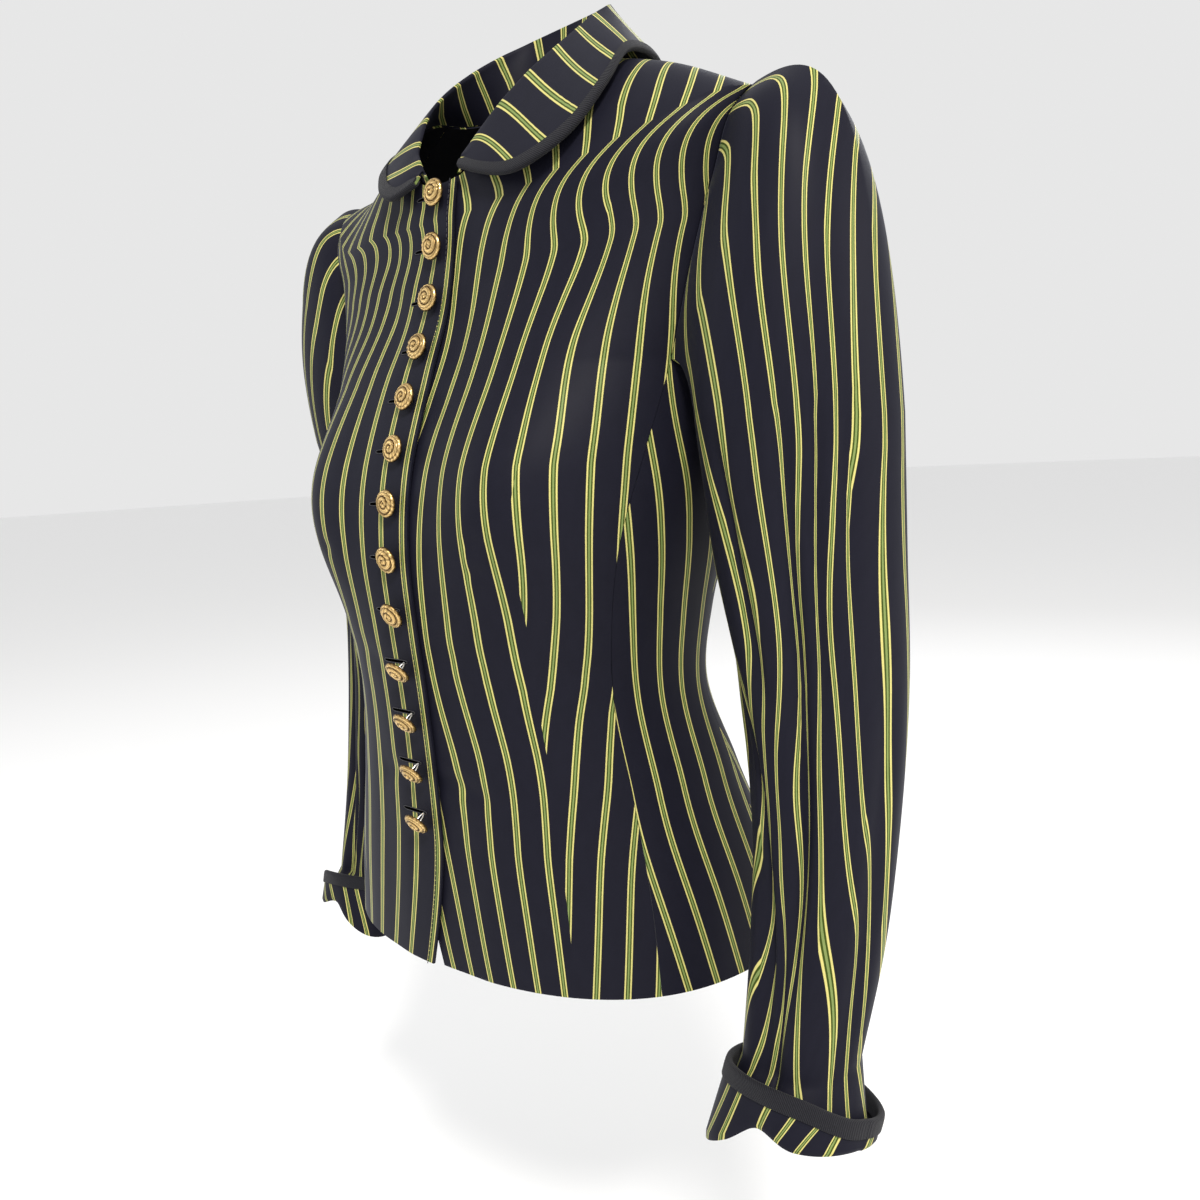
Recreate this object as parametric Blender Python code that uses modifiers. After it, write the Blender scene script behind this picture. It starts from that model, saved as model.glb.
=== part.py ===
"""A woman's fitted, hip-length tailored jacket with long sleeves, a turned-down collar, turned-back
cuffs and a row of domed shank buttons, in the hollow form that it keeps when it is worn.

Tables and functions are in centimetres, with +X to the wearer's left, the front facing -Y and +Z up.
The origin is the middle of the neck opening, level with the two points where the shoulder seams end.
"""

import bpy
import bmesh
import numpy as np
from mathutils import Quaternion, Vector

CM = 0.01
CLOTH = 0.16
SEAM_GAP = 0.034

# The bodice's rings, from hem to chest: height, half width, and where the ring crosses the middle
# of the front and of the back, and the line through its widest points.
RING_COLUMNS = ("z", "half_width", "y_front", "y_middle", "y_back", "front_seam", "back_seam")
RINGS = {
    "hem": (-59.3, 17.4, -12.2, 0.8, 13.0, 56.0, 110.0),
    "hip": (-53.5, 16.4, -12.2, 0.5, 11.6, 57.5, 110.0),
    "high_hip": (-47.0, 14.6, -12.3, 0.0, 9.2, 60.0, 110.0),
    "waist": (-40.5, 13.1, -12.7, -0.6, 7.2, 62.0, 110.0),
    "midriff": (-36.0, 13.6, -13.1, -0.5, 7.9, 62.0, 110.0),
    "under_bust": (-31.0, 14.8, -13.3, -0.2, 9.1, 62.5, 110.0),
    "bust": (-26.5, 15.8, -12.7, 0.2, 10.0, 64.0, 110.0),
    "armpit": (-20.0, 16.2, -10.4, 0.4, 10.3, 69.0, 112.0),
}
# Above the armpit each row runs from the middle of the front, or of the back, to the armhole or to
# the shoulder seam. The turn is how far round the body the row has come where it ends.
YOKE_COLUMNS = ("z_middle", "y_middle_line", "x_end", "y_end", "z_end", "turn")
FRONT_YOKE = {
    "low_armhole": (-15.8, -8.7, 16.7, -2.8, -14.5, 66.0),
    "high_armhole": (-12.2, -7.9, 17.9, -1.9, -9.4, 73.0),
    "top_armhole": (-10.6, -7.7, 18.8, -1.3, -6.2, 79.0),
    "shoulder_tip": (-9.7, -7.6, 19.2, 0.3, -4.6, 84.0),
    "shoulder": (-8.5, -7.4, 13.4, 0.3, -1.8, 87.0),
    "neck": (-7.4, -7.2, 7.4, 0.0, 0.0, 88.0),
}
BACK_YOKE = {
    "low_armhole": (-14.2, 10.1, 16.3, 6.2, -14.0, 62.0),
    "high_armhole": (-7.6, 8.9, 17.6, 4.6, -8.6, 66.0),
    "top_armhole": (-4.8, 8.1, 18.8, 2.4, -5.6, 76.0),
    "shoulder_tip": (-3.0, 7.4, 19.2, 0.3, -4.6, 84.0),
    "shoulder": (-0.6, 6.2, 13.4, 0.3, -1.8, 87.0),
    "neck": (1.0, 5.6, 7.4, 0.0, 0.0, 88.0),
}
ARMHOLE_DIP = 1.6
SQUARENESS = 0.05

BUST = {"x": 9.4, "z": -27.5, "depth": 1.9, "half_width": 4.6, "half_height": 6.5}
# Soft flutes of the flared back skirt: where each is round the body, its half width and depth.
FLUTE_COLUMNS = ("turn", "half_width", "depth")
FLUTES = ((128.0, 9.0, 0.9), (152.0, 9.0, 0.7), (172.0, 8.0, 0.5))
FLUTE_TOP = -44.0

# The two fronts: how far each edge passes the middle, and how far the layers part where they lap.
LAP = 1.5
LAP_LIFT = 0.16
LAP_FADE = (2.2, 5.5)
EDGE_OPENING = {"from_z": -50.0, "at_hem": 1.9}

PANEL_ROWS = (("seam", 15), ("armhole", 8), ("shoulder", 5))
FRONT_COLUMNS = 11
SIDE_COLUMNS = 5
BACK_COLUMNS = 9


def hermite(knots, values, at):
    """A smooth curve through the values, evaluated at one or many places."""
    knots = np.asarray(knots, float)
    values = np.asarray(values, float).reshape(len(knots), -1)
    at = np.atleast_1d(np.asarray(at, float))
    slopes = np.gradient(values, knots, axis=0)
    piece = np.clip(np.searchsorted(knots, at, side="right") - 1, 0, len(knots) - 2)
    width = (knots[piece + 1] - knots[piece])[:, None]
    s = ((at - knots[piece])[:, None]) / width
    start, end = values[piece], values[piece + 1]
    return (
        (2 * s**3 - 3 * s**2 + 1) * start
        + (s**3 - 2 * s**2 + s) * width * slopes[piece]
        + (3 * s**2 - 2 * s**3) * end
        + (s**3 - s**2) * width * slopes[piece + 1]
    )


def smoothstep(low, high, value):
    share = np.clip((np.asarray(value, float) - low) / (high - low), 0.0, 1.0)
    return share * share * (3 - 2 * share)


def squared(turn):
    """How much further out than an ellipse the body's section lies at this turn."""
    return 1 + SQUARENESS * np.sin(2 * turn) ** 2


def rows_of(rings, yoke, back):
    """The front's or the back's rows, hem first: middle z and y, the end's x, y and z, and its turn."""
    rows = []
    for values in rings.values():
        ring = dict(zip(RING_COLUMNS, values))
        turn = np.radians(180 - ring["back_seam"] if back else ring["front_seam"])
        y_line = ring["y_back"] if back else ring["y_front"]
        reach = squared(turn)
        x = ring["half_width"] * np.sin(turn) * reach
        y = ring["y_middle"] + (y_line - ring["y_middle"]) * np.cos(turn) * reach
        rows.append((ring["z"], y_line, x, y, ring["z"], turn))
    for values in yoke.values():
        row = dict(zip(YOKE_COLUMNS, values))
        rows.append((*values[:5], np.radians(row["turn"])))
    return np.array(rows)


FRONT_ROWS = rows_of(RINGS, FRONT_YOKE, back=False)
BACK_ROWS = rows_of(RINGS, BACK_YOKE, back=True)
ARMPIT = len(RINGS) - 1
TIP = ARMPIT + 4
NECK = TIP + 2


def row_knots():
    """How far up the garment each row lies, as the mean of the steps along its lines."""
    steps = 0
    for rows in (FRONT_ROWS, BACK_ROWS):
        middle = np.linalg.norm(np.diff(rows[:, :2], axis=0), axis=1)
        end = np.linalg.norm(np.diff(rows[:, 2:5], axis=0), axis=1)
        steps = steps + (middle + end) / 4
    return np.concatenate([[0], np.cumsum(steps)])


KNOTS = row_knots()


def levels(parts):
    """Places up the garment: evenly spaced in each stretch of the panel's side edge."""
    ends = {"seam": (0, ARMPIT), "armhole": (ARMPIT, TIP), "shoulder": (TIP, NECK)}
    found = []
    for name, count in parts:
        low, high = (KNOTS[k] for k in ends[name])
        found.append(np.linspace(low, high, count + 1)[1 if found else 0 :])
    return np.concatenate(found)


def row_values(rows, level):
    """Middle z and y, end x, y and z, and turn of the row at each level. The end has a corner at the
    armpit and at the shoulder's tip."""
    level = np.atleast_1d(level)
    middle = hermite(KNOTS, rows[:, :2], level)
    turn = hermite(KNOTS, rows[:, 5], level)
    end = np.empty((len(level), 3))
    for low, high in ((0, ARMPIT), (ARMPIT, TIP), (TIP, NECK)):
        inside = (level >= KNOTS[low] - 1e-9) & (level <= KNOTS[high] + 1e-9)
        if inside.any():
            span = slice(low, high + 1)
            end[inside] = hermite(KNOTS[span], rows[span, 2:5], level[inside])
    return np.hstack([middle, end, turn])


def along_row(values, turn):
    """Points of one row at these turns from the middle line."""
    z_middle, y_line, x_end, y_end, z_end, turn_end = values
    reach = squared(turn_end)
    half_width = x_end / (np.sin(turn_end) * reach)
    share = np.cos(turn_end) * reach
    y_middle = (y_end - y_line * share) / (1 - share)
    out = squared(turn)
    x = half_width * np.sin(turn) * out
    y = y_middle + (y_line - y_middle) * np.cos(turn) * out
    z = z_middle + (z_end - z_middle) * (np.sin(turn) / np.sin(turn_end)) ** 2
    return np.stack([x, y, z], axis=-1)


def figure(points):
    """The fullness that the darts and seams give: the bust, and the flutes of the flared skirt."""
    shaped = points.copy()
    x, y, z = points[..., 0], points[..., 1], points[..., 2]
    up = (z - BUST["z"]) / BUST["half_height"]
    across = (x - BUST["x"]) / BUST["half_width"]
    shaped[..., 1] -= np.where(y < 0, BUST["depth"] * np.exp(-(up**2) - across**2), 0)
    around = np.degrees(np.arctan2(x, -y))
    fall = np.clip((FLUTE_TOP - z) / (FLUTE_TOP - RINGS["hem"][0]), 0, None) ** 1.5
    for values in FLUTES:
        flute = dict(zip(FLUTE_COLUMNS, values))
        swell = flute["depth"] * fall * np.exp(-(((around - flute["turn"]) / flute["half_width"]) ** 2))
        shaped[..., 0] += swell * np.sin(np.radians(around))
        shaped[..., 1] -= swell * np.cos(np.radians(around))
    return shaped


def edge_x(z):
    """Where the front's edge runs, from past the middle to behind it under the last button."""
    from_z, at_hem = EDGE_OPENING["from_z"], EDGE_OPENING["at_hem"]
    return -LAP + at_hem * np.clip((from_z - z) / (from_z - RINGS["hem"][0]), 0, 1) ** 1.5


def front_grid(parts, columns, lap_side=0):
    """The wearer's left front. lap_side lifts the lapping edge out, 1, or in, -1."""
    grid = []
    for values in row_values(FRONT_ROWS, levels(parts)):
        reach = values[2] / np.sin(values[5])
        start = np.arcsin(edge_x(values[0]) / reach)
        grid.append(along_row(values, np.linspace(start, values[5], columns)))
    grid = figure(np.array(grid))
    near = 1 - smoothstep(*LAP_FADE, grid[..., 0])
    grid[..., 1] -= lap_side * LAP_LIFT * near
    return grid


def back_grid(parts, columns):
    grid = [
        along_row(values, np.linspace(0, values[5], columns))
        for values in row_values(BACK_ROWS, levels(parts))
    ]
    return figure(np.array(grid))


def side_grid(count, columns):
    """The panel under the arm, front seam first. Its top dips to the bottom of the armhole."""
    places = levels((("seam", count),))
    grid = []
    share = np.linspace(0, 1, columns)
    for front, back in zip(row_values(FRONT_ROWS, places), row_values(BACK_ROWS, places)):
        turn = front[5] + (np.pi - back[5] - front[5]) * share
        ahead = along_row(front, turn)
        behind = along_row(back, np.pi - turn)
        row = ahead + (behind - ahead) * smoothstep(0, 1, share)[:, None]
        row[:, 2] -= ARMHOLE_DIP * np.sin(np.pi * share) * smoothstep(-30, -19, front[0])
        grid.append(row)
    return figure(np.array(grid))


# The sleeve hangs from the armhole: each ring's middle, its half length and half breadth, which way
# its length lies, counted from the outside towards the back, and how much lower its front lies.
SLEEVE_COLUMNS = ("x", "y", "z", "half_length", "half_breadth", "heading", "front_drop")
SLEEVE = {
    "bicep": (22.1, -0.2, -24.0, 6.1, 4.8, 50.0, 0.0),
    "upper_elbow": (22.3, 0.2, -32.0, 5.7, 4.8, 50.0, 0.0),
    "elbow": (23.0, 0.0, -40.0, 5.1, 4.6, 50.0, 0.0),
    "forearm": (23.8, -1.3, -48.0, 4.3, 4.0, 50.0, 0.0),
    "low_forearm": (24.0, -3.0, -55.0, 3.9, 3.6, 50.0, 0.0),
    "wrist": (24.0, -5.0, -60.8, 3.4, 3.2, 50.0, 0.2),
}
# The right shoulder is lower than the left one between the neck and the arm.
RIGHT_SHOULDER = {
    "x": (0.0, 7.4, 13.4, 19.2),
    "lower": (0.0, 0.8, 2.2, 0.2),
    "inward": (0.0, 0.0, 0.3, 1.0),
    "fade": (-18.0, -5.0),
}
# The right arm hangs further back than the left one, and nearer the body.
RIGHT_ARM_COLUMNS = ("z", "back", "inward")
RIGHT_ARM = {
    "shoulder": (-5.0, 0.0, 0.0),
    "upper": (-12.0, 1.4, 0.4),
    "bicep": (-24.0, 3.0, -0.4),
    "elbow": (-40.0, 3.8, 0.3),
    "wrist": (-64.0, 5.2, 0.6),
}
# How the cloth leaves the armhole, and how long it takes to turn down the arm, round the armhole.
HEAD_COLUMNS = ("around", "out_x", "out_y", "out_z", "down")
HEAD = {
    "top": (0.0, 5.0, 0.0, 1.5, 18.5),
    "front_top": (35.0, 4.2, -2.4, 1.2, 15.0),
    "front": (90.0, 1.8, -2.2, 0.4, 6.0),
    "under_front": (140.0, 1.4, -0.3, 0.0, 1.5),
    "under": (180.0, 1.6, 0.0, -0.3, 0.5),
    "under_back": (220.0, 1.4, 0.3, 0.0, 1.5),
    "back": (270.0, 1.8, 2.6, 0.4, 6.0),
    "back_top": (325.0, 4.2, 2.8, 1.2, 15.0),
    "top_again": (360.0, 5.0, 0.0, 1.5, 18.5),
}
# The sleeve's largest folds: where each starts and ends round and down the arm, and its width and depth.
FOLD_COLUMNS = ("around_from", "z_from", "around_to", "z_to", "half_width", "depth")
SLEEVE_FOLDS = (
    (118.0, -50.0, 96.0, -62.5, 13.0, 0.7),
    (62.0, -30.0, 78.0, -58.0, 14.0, 0.35),
    (150.0, -34.0, 128.0, -46.0, 14.0, 0.4),
    (252.0, -36.0, 282.0, -58.0, 15.0, 0.45),
    (10.0, -40.0, 24.0, -60.0, 12.0, 0.25),
)
HEAD_ROWS = 6
SLEEVE_ROWS = 10
LAST_ROWS = 2


def double(loop):
    """The loop's points with the middle of each edge between them."""
    after = np.roll(loop, -1, axis=0)
    return np.stack([loop, (loop + after) / 2], axis=1).reshape(-1, loop.shape[-1])


def armhole(front, side, back):
    """The armhole's loop on the wearer's left: shoulder tip, down the front, under, up the back."""
    notch = dict(PANEL_ROWS)["seam"]
    tip = notch + dict(PANEL_ROWS)["armhole"]
    return np.concatenate([
        front[tip:notch:-1, -1], side[-1], back[notch + 1 : tip, -1],
    ])


def around_loop(loop):
    """How far round the loop each point lies, in degrees, with the shoulder tip at 0 and the lowest
    point at 180."""
    closed = np.vstack([loop, loop[:1]])
    length = np.concatenate([[0], np.cumsum(np.linalg.norm(np.diff(closed, axis=0), axis=1))])
    low = np.argmin(loop[:, 2])
    return np.interp(length[:-1], (0, length[low], length[-1]), (0, 180, 360))


def sleeve_ring(values, around):
    ring = dict(zip(SLEEVE_COLUMNS, values))
    heading = np.radians(ring["heading"])
    turn = -np.radians(around) - heading
    along, across = ring["half_length"] * np.cos(turn), ring["half_breadth"] * np.sin(turn)
    return np.stack([
        ring["x"] + along * np.cos(heading) - across * np.sin(heading),
        ring["y"] + along * np.sin(heading) + across * np.cos(heading),
        ring["z"] - ring["front_drop"] * np.sin(np.radians(around)),
    ], axis=-1)


def sleeve_folds(points, around, middle):
    """Valleys that run down the arm, pressed in towards its middle."""
    pressed = points.copy()
    for values in SLEEVE_FOLDS:
        fold = dict(zip(FOLD_COLUMNS, values))
        down = (fold["z_from"] - points[..., 2]) / (fold["z_from"] - fold["z_to"])
        line = fold["around_from"] + (fold["around_to"] - fold["around_from"]) * down
        apart = (around - line + 180) % 360 - 180
        across = np.exp(-((apart / fold["half_width"]) ** 2))
        along = smoothstep(-0.25, 0.3, down) * (1 - smoothstep(0.75, 1.15, down))
        inward = middle - points
        inward[..., 2] = 0
        inward /= np.linalg.norm(inward, axis=-1, keepdims=True)
        pressed += (fold["depth"] * across * along)[..., None] * inward
    return pressed


def sleeve_grid(loop, head_rows, arm_rows, last_rows):
    """The sleeve, from the armhole over its head and down the arm to the inside of the cuff's fold."""
    around = around_loop(loop)
    table = np.array(list(SLEEVE.values()))
    heights = -table[:, 2]
    head = hermite([row[0] for row in HEAD.values()], [row[1:] for row in HEAD.values()], around)
    leave, turn_down = head[:, :3], head[:, 3:]
    first = sleeve_ring(table[0], around)
    axis = (table[0, :3] - table[1, :3]) / np.linalg.norm(table[0, :3] - table[1, :3])
    grid = []
    for t in np.linspace(0, 1, head_rows + 1)[:-1]:
        grid.append(
            (1 - t) ** 3 * loop
            + 3 * (1 - t) ** 2 * t * (loop + leave)
            + 3 * (1 - t) * t**2 * (first + turn_down * axis)
            + t**3 * first
        )
    for height in np.linspace(heights[0], heights[-1], arm_rows + 1):
        values = hermite(heights, table, height)[0]
        grid.append(sleeve_folds(sleeve_ring(values, around), around, values[:3]))
    wrist, end = grid[-1], double(cuff_grid(around[::2], 1)[0])
    for share in np.linspace(0, 1, last_rows + 1)[1:]:
        grid.append(wrist + (end - wrist) * share)
    return np.array(grid)


def right_side(points):
    """The left half's points moved to the right half's pose, still on the left side."""
    moved = points.copy()
    share = smoothstep(*RIGHT_SHOULDER["fade"], points[..., 2])
    at = np.clip(np.abs(points[..., 0]), 0, RIGHT_SHOULDER["x"][-1])
    shift = np.array([RIGHT_SHOULDER["lower"], RIGHT_SHOULDER["inward"]]).T
    lower, inward = hermite(RIGHT_SHOULDER["x"], shift, at.ravel()).T
    moved[..., 2] -= share * lower.reshape(at.shape)
    moved[..., 0] -= share * inward.reshape(at.shape)
    return moved


def right_arm(points, share=1.0):
    """The left sleeve's or cuff's points moved to the right arm's pose, still on the left side."""
    table = np.array(list(RIGHT_ARM.values()))[::-1]
    moved = points.copy()
    moved[..., 1] += share * np.interp(points[..., 2], table[:, 0], table[:, 1])
    moved[..., 0] -= share * np.interp(points[..., 2], table[:, 0], table[:, 2])
    return moved


# The turned-back cuff, round the wrist: how far the fold and the top edge lie from their middles,
# and how high. The top edge comes down to the fold at the outer side of the wrist.
CUFF_COLUMNS = ("around", "fold_reach", "fold_z", "top_reach", "top_z")
CUFF = (
    (-33.0, 4.7, -64.8, 4.6, -63.8),
    (10.0, 4.2, -64.1, 4.2, -62.8),
    (57.0, 3.8, -63.6, 3.9, -61.1),
    (100.0, 3.4, -63.1, 3.9, -60.6),
    (122.0, 4.2, -64.3, 3.9, -60.7),
    (147.0, 5.0, -65.4, 4.0, -61.0),
    (190.0, 4.3, -65.4, 4.1, -61.6),
    (240.0, 4.0, -65.2, 4.2, -62.5),
    (290.0, 4.1, -65.0, 4.0, -63.3),
    (327.0, 4.7, -64.8, 4.6, -63.8),
    (370.0, 4.2, -64.1, 4.2, -62.8),
)
FOLD_MIDDLE = (24.2, -6.6)
TOP_MIDDLE = (24.2, -5.7)
LIP = {"inset": 0.5, "above": 0.3}
CUFF_ROWS = 3


def cuff_grid(around, rows):
    """The cuff from where the sleeve ends, out to its fold and up to its top edge."""
    table = np.array(CUFF)
    fold_reach, fold_z, top_reach, top_z = hermite(table[:, 0], table[:, 1:], around).T
    out = np.stack([np.cos(np.radians(around)), -np.sin(np.radians(around))], axis=-1)
    fold = np.column_stack([np.array(FOLD_MIDDLE) + fold_reach[:, None] * out, fold_z])
    lip = fold + np.column_stack([-LIP["inset"] * out, np.full(len(out), LIP["above"])])
    top = np.column_stack([np.array(TOP_MIDDLE) + top_reach[:, None] * out, top_z])
    return np.array([lip] + [fold + (top - fold) * share for share in np.linspace(0, 1, rows + 1)])


# The collar, from its front end to the middle of the back: where its roll line and its outer edge run.
COLLAR_COLUMNS = ("share", "roll_x", "roll_y", "roll_z", "edge_x", "edge_y", "edge_z")
LEFT_COLLAR = (
    (0.00, 2.1, -7.1, -5.9, 2.3, -7.8, -6.8),
    (0.08, 2.8, -6.4, -4.7, 4.4, -8.2, -7.6),
    (0.20, 4.0, -5.3, -2.9, 7.2, -8.2, -8.2),
    (0.32, 5.1, -3.8, -1.1, 9.5, -7.7, -7.6),
    (0.44, 5.9, -2.2, 0.4, 11.3, -6.5, -6.1),
    (0.56, 6.2, -0.2, 2.0, 12.2, -4.5, -3.5),
    (0.66, 6.1, 1.5, 3.3, 11.5, -1.4, -0.8),
    (0.76, 5.6, 3.6, 4.6, 9.9, 3.4, 0.0),
    (0.88, 3.6, 5.9, 5.7, 6.3, 7.8, -1.0),
    (1.00, 0.0, 6.7, 6.0, 0.0, 9.5, -1.3),
)
RIGHT_COLLAR = (
    (0.00, 1.8, -7.3, -6.3, 1.6, -8.2, -7.2),
    (0.08, 2.5, -6.9, -5.5, 3.2, -8.6, -7.8),
    (0.20, 3.5, -6.2, -4.6, 5.0, -8.2, -7.3),
    (0.32, 4.2, -5.3, -3.4, 6.9, -6.9, -6.1),
    (0.44, 4.9, -3.9, -1.5, 8.8, -5.0, -4.5),
    (0.56, 5.4, -2.0, 0.3, 10.4, -2.2, -2.9),
    (0.66, 5.7, 0.3, 2.0, 10.8, 0.8, -1.4),
    (0.76, 5.5, 2.9, 3.7, 9.8, 4.4, -0.5),
    (0.88, 3.6, 5.8, 5.4, 6.3, 7.8, -1.3),
    (1.00, 0.0, 6.7, 6.0, 0.0, 9.5, -1.3),
)
COLLAR_START = 1.4
NECK_GAP = 0.15
ROLL_LIFT = 0.12
TAPE_DEPTH = 0.9


def neck_seam(share, right):
    """The neckline's points, from where the collar starts to the middle of the back."""
    front, back = FRONT_ROWS[NECK], BACK_ROWS[NECK]
    first = np.arcsin(COLLAR_START / (front[2] / np.sin(front[5])))
    line = np.vstack([
        along_row(front, np.linspace(first, front[5], 30)),
        along_row(back, np.linspace(back[5], 0, 30))[1:],
    ])
    if right:
        line = right_side(line)
    length = np.concatenate([[0], np.cumsum(np.linalg.norm(np.diff(line, axis=0), axis=1))])
    at = np.asarray(share) * length[-1]
    return np.stack([np.interp(at, length, line[:, k]) for k in range(3)], axis=-1)


def collar_grid(table, share, places, right=False):
    """Half of the collar: from the neck seam up the stand, over the roll and down the fall."""
    table = np.array(table)
    values = hermite(table[:, 0], table[:, 1:], share)
    seam, roll, edge = neck_seam(share, right) + (0, 0, NECK_GAP), values[:, :3], values[:, 3:]
    stand = (seam - roll) / np.linalg.norm(seam - roll, axis=1, keepdims=True)
    fall = (edge - roll) / np.linalg.norm(edge - roll, axis=1, keepdims=True)
    size = np.linalg.norm(edge - roll, axis=1, keepdims=True)
    near = np.minimum(0.8, 0.35 * size)
    before = roll + stand * near
    after = roll + fall * near + (0, 0, ROLL_LIFT)
    bound = edge - fall * np.minimum(TAPE_DEPTH + 0.1, 0.45 * size) + np.array([0, 0, 0.02]) * size
    knots = np.stack([seam, before, roll, after, bound, edge])
    flat = hermite(np.arange(6), knots.reshape(6, -1), places)
    return flat.reshape(len(places), len(share), 3)

NOTCH = dict(PANEL_ROWS)["seam"]
SHOULDER_TIP = NOTCH + dict(PANEL_ROWS)["armhole"]
STEEPEST = 0.55
COLLAR_SHARES = np.linspace(0, 1, 16)
COLLAR_PLACES = (0, 0.5, 1, 1.5, 2, 2.5, 3, 3.5, 4, 5)


def unit(vectors):
    return vectors / np.maximum(np.linalg.norm(vectors, axis=-1, keepdims=True), 1e-9)


class Panel:
    """One cut piece: the points of its middle surface, and how far its two faces lie from each."""

    def __init__(self, points, outward=1, ring=False):
        self.points = points
        self.ring = ring
        self.normal = outward * self.square_to(points)
        self.reach = self.normal * CLOTH / 2

    def square_to(self, points):
        """The surface's direction at each point. A ring's last column joins its first."""
        if self.ring:
            wide = np.concatenate([points[:, -1:], points, points[:, :1]], axis=1)
            across = wide[:, 2:] - wide[:, :-2]
        else:
            across = np.gradient(points, axis=1)
        return unit(np.cross(across, np.gradient(points, axis=0)))

    def seam(self, line, inside, gap=SEAM_GAP / 2):
        """Slants the faces to the seam's mean direction and draws the edge back from the seam."""
        mean = self.mean[line]
        slant = np.clip((mean * self.normal[line]).sum(-1, keepdims=True), STEEPEST, 1)
        self.reach[line] = mean * CLOTH / 2 / slant
        edge = self.points[line]
        along = np.gradient(edge, axis=0)
        along = unit(along - mean * (along * mean).sum(-1, keepdims=True))
        inward = self.points[inside] - edge
        for direction in (mean, along):
            inward = inward - direction * (inward * direction).sum(-1, keepdims=True)
        self.points[line] = edge + unit(inward) * gap

    def mirror(self):
        self.points = self.points * (-1, 1, 1)
        self.reach = self.reach * (-1, 1, 1)


def sew(panels):
    """Gives each panel the mean direction of all the surfaces that share each of its points."""
    total = {}
    for panel in panels:
        for point, normal in zip(panel.points.reshape(-1, 3), panel.normal.reshape(-1, 3)):
            key = tuple(np.round(point, 4))
            total[key] = total.get(key, 0) + normal
    for panel in panels:
        keys = [tuple(np.round(point, 4)) for point in panel.points.reshape(-1, 3)]
        panel.mean = unit(np.array([total[key] for key in keys])).reshape(panel.points.shape)


def body_half(right):
    """The front, side, back, sleeve and cuff of one side, made on the wearer's left."""
    pose = right_side if right else np.copy
    front = Panel(pose(front_grid(PANEL_ROWS, FRONT_COLUMNS, 1 if right else -1)))
    side = Panel(pose(side_grid(NOTCH, SIDE_COLUMNS)))
    back = Panel(pose(back_grid(PANEL_ROWS, BACK_COLUMNS)), outward=-1)
    loop = armhole(
        front_grid(PANEL_ROWS, FRONT_COLUMNS),
        side_grid(NOTCH, SIDE_COLUMNS),
        back_grid(PANEL_ROWS, BACK_COLUMNS),
    )
    loop = double(loop)
    arm = sleeve_grid(loop, HEAD_ROWS, SLEEVE_ROWS, LAST_ROWS)
    cuff = cuff_grid(around_loop(loop)[::2], CUFF_ROWS)
    if right:
        share = np.minimum(np.arange(len(arm)) / HEAD_ROWS, 1)[:, None]
        arm, cuff = right_side(right_arm(arm, share)), right_arm(cuff)
    sleeve = Panel(arm, ring=True)
    cuff = Panel(cuff, ring=True)

    sew((front, side, back, sleeve, cuff))
    for ring in (sleeve.mean[0], sleeve.mean[-1]):
        ring[1::2] = unit(ring[::2] + np.roll(ring[::2], -1, axis=0))
    back.mean[:, 0, 0] = 0
    rows = slice(None)
    front.seam((rows, -1), (rows, -2))
    back.seam((rows, -1), (rows, -2))
    back.seam((rows, 0), (rows, 1))
    side.seam((rows, 0), (rows, 1))
    side.seam((rows, -1), (rows, -2))
    side.seam((-1,), (-2,))
    sleeve.seam((0,), (1,), SEAM_GAP)
    sleeve.seam((-1,), (-2,), SEAM_GAP)
    cuff.seam((0,), (1,))
    return front, side, back, sleeve, cuff


# The buttons down the right front, and the outline of their turned face, from the top of the dome.
BUTTONS = {
    "first_z": -8.1, "step": 3.45, "count": 13, "radius": 0.9, "sides": 12,
    "shank": 0.42, "shank_radius": 0.13, "rim_clearance": 0.12, "clearance": 0.04,
}
BUTTON_OUTLINE = (
    (0.0, 0.42), (0.42, 0.37), (0.74, 0.24), (0.9, 0.08), (0.86, 0.0), (0.5, -0.02), (0.13, -0.02),
)
# How far the buttons hang down from the cloth's direction, in degrees, by their number from the top.
DROOP = ((0, 6, 8, 9, 12), (4, 8, 22, 34, 36))
SHARP = 50

# The binding's section: its half thickness outside and inside, round the cloth's edge.
TAPE = {"outside": 0.24, "inside": 0.14, "round_edge": 0.18, "over_edge": 0.08}


def split(shape, a, b, c, d):
    """A four-sided face as two triangles that share the side from a to c."""
    shape.faces.new((a, b, c))
    shape.faces.new((a, c, d))


def wall_mesh(name, panel):
    """A closed wall: both faces of the panel, and a rim along each open edge."""
    rows, columns = panel.points.shape[:2]
    shape = bmesh.new()
    faces = [
        [[shape.verts.new(point * CM) for point in row] for row in panel.points + side * panel.reach]
        for side in (1, -1)
    ]
    outer, inner = faces
    last = columns if panel.ring else columns - 1
    for r in range(rows - 1):
        for c in range(last):
            d = (c + 1) % columns
            split(shape, outer[r][c], outer[r][d], outer[r + 1][d], outer[r + 1][c])
            split(shape, inner[r][c], inner[r + 1][c], inner[r + 1][d], inner[r][d])
    for r in (0, rows - 1):
        for c in range(last):
            d = (c + 1) % columns
            shape.faces.new((outer[r][c], outer[r][d], inner[r][d], inner[r][c]))
    if not panel.ring:
        for c in (0, columns - 1):
            for r in range(rows - 1):
                shape.faces.new((outer[r][c], outer[r + 1][c], inner[r + 1][c], inner[r][c]))
    return finished(name, shape, "striped_satin")


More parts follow.
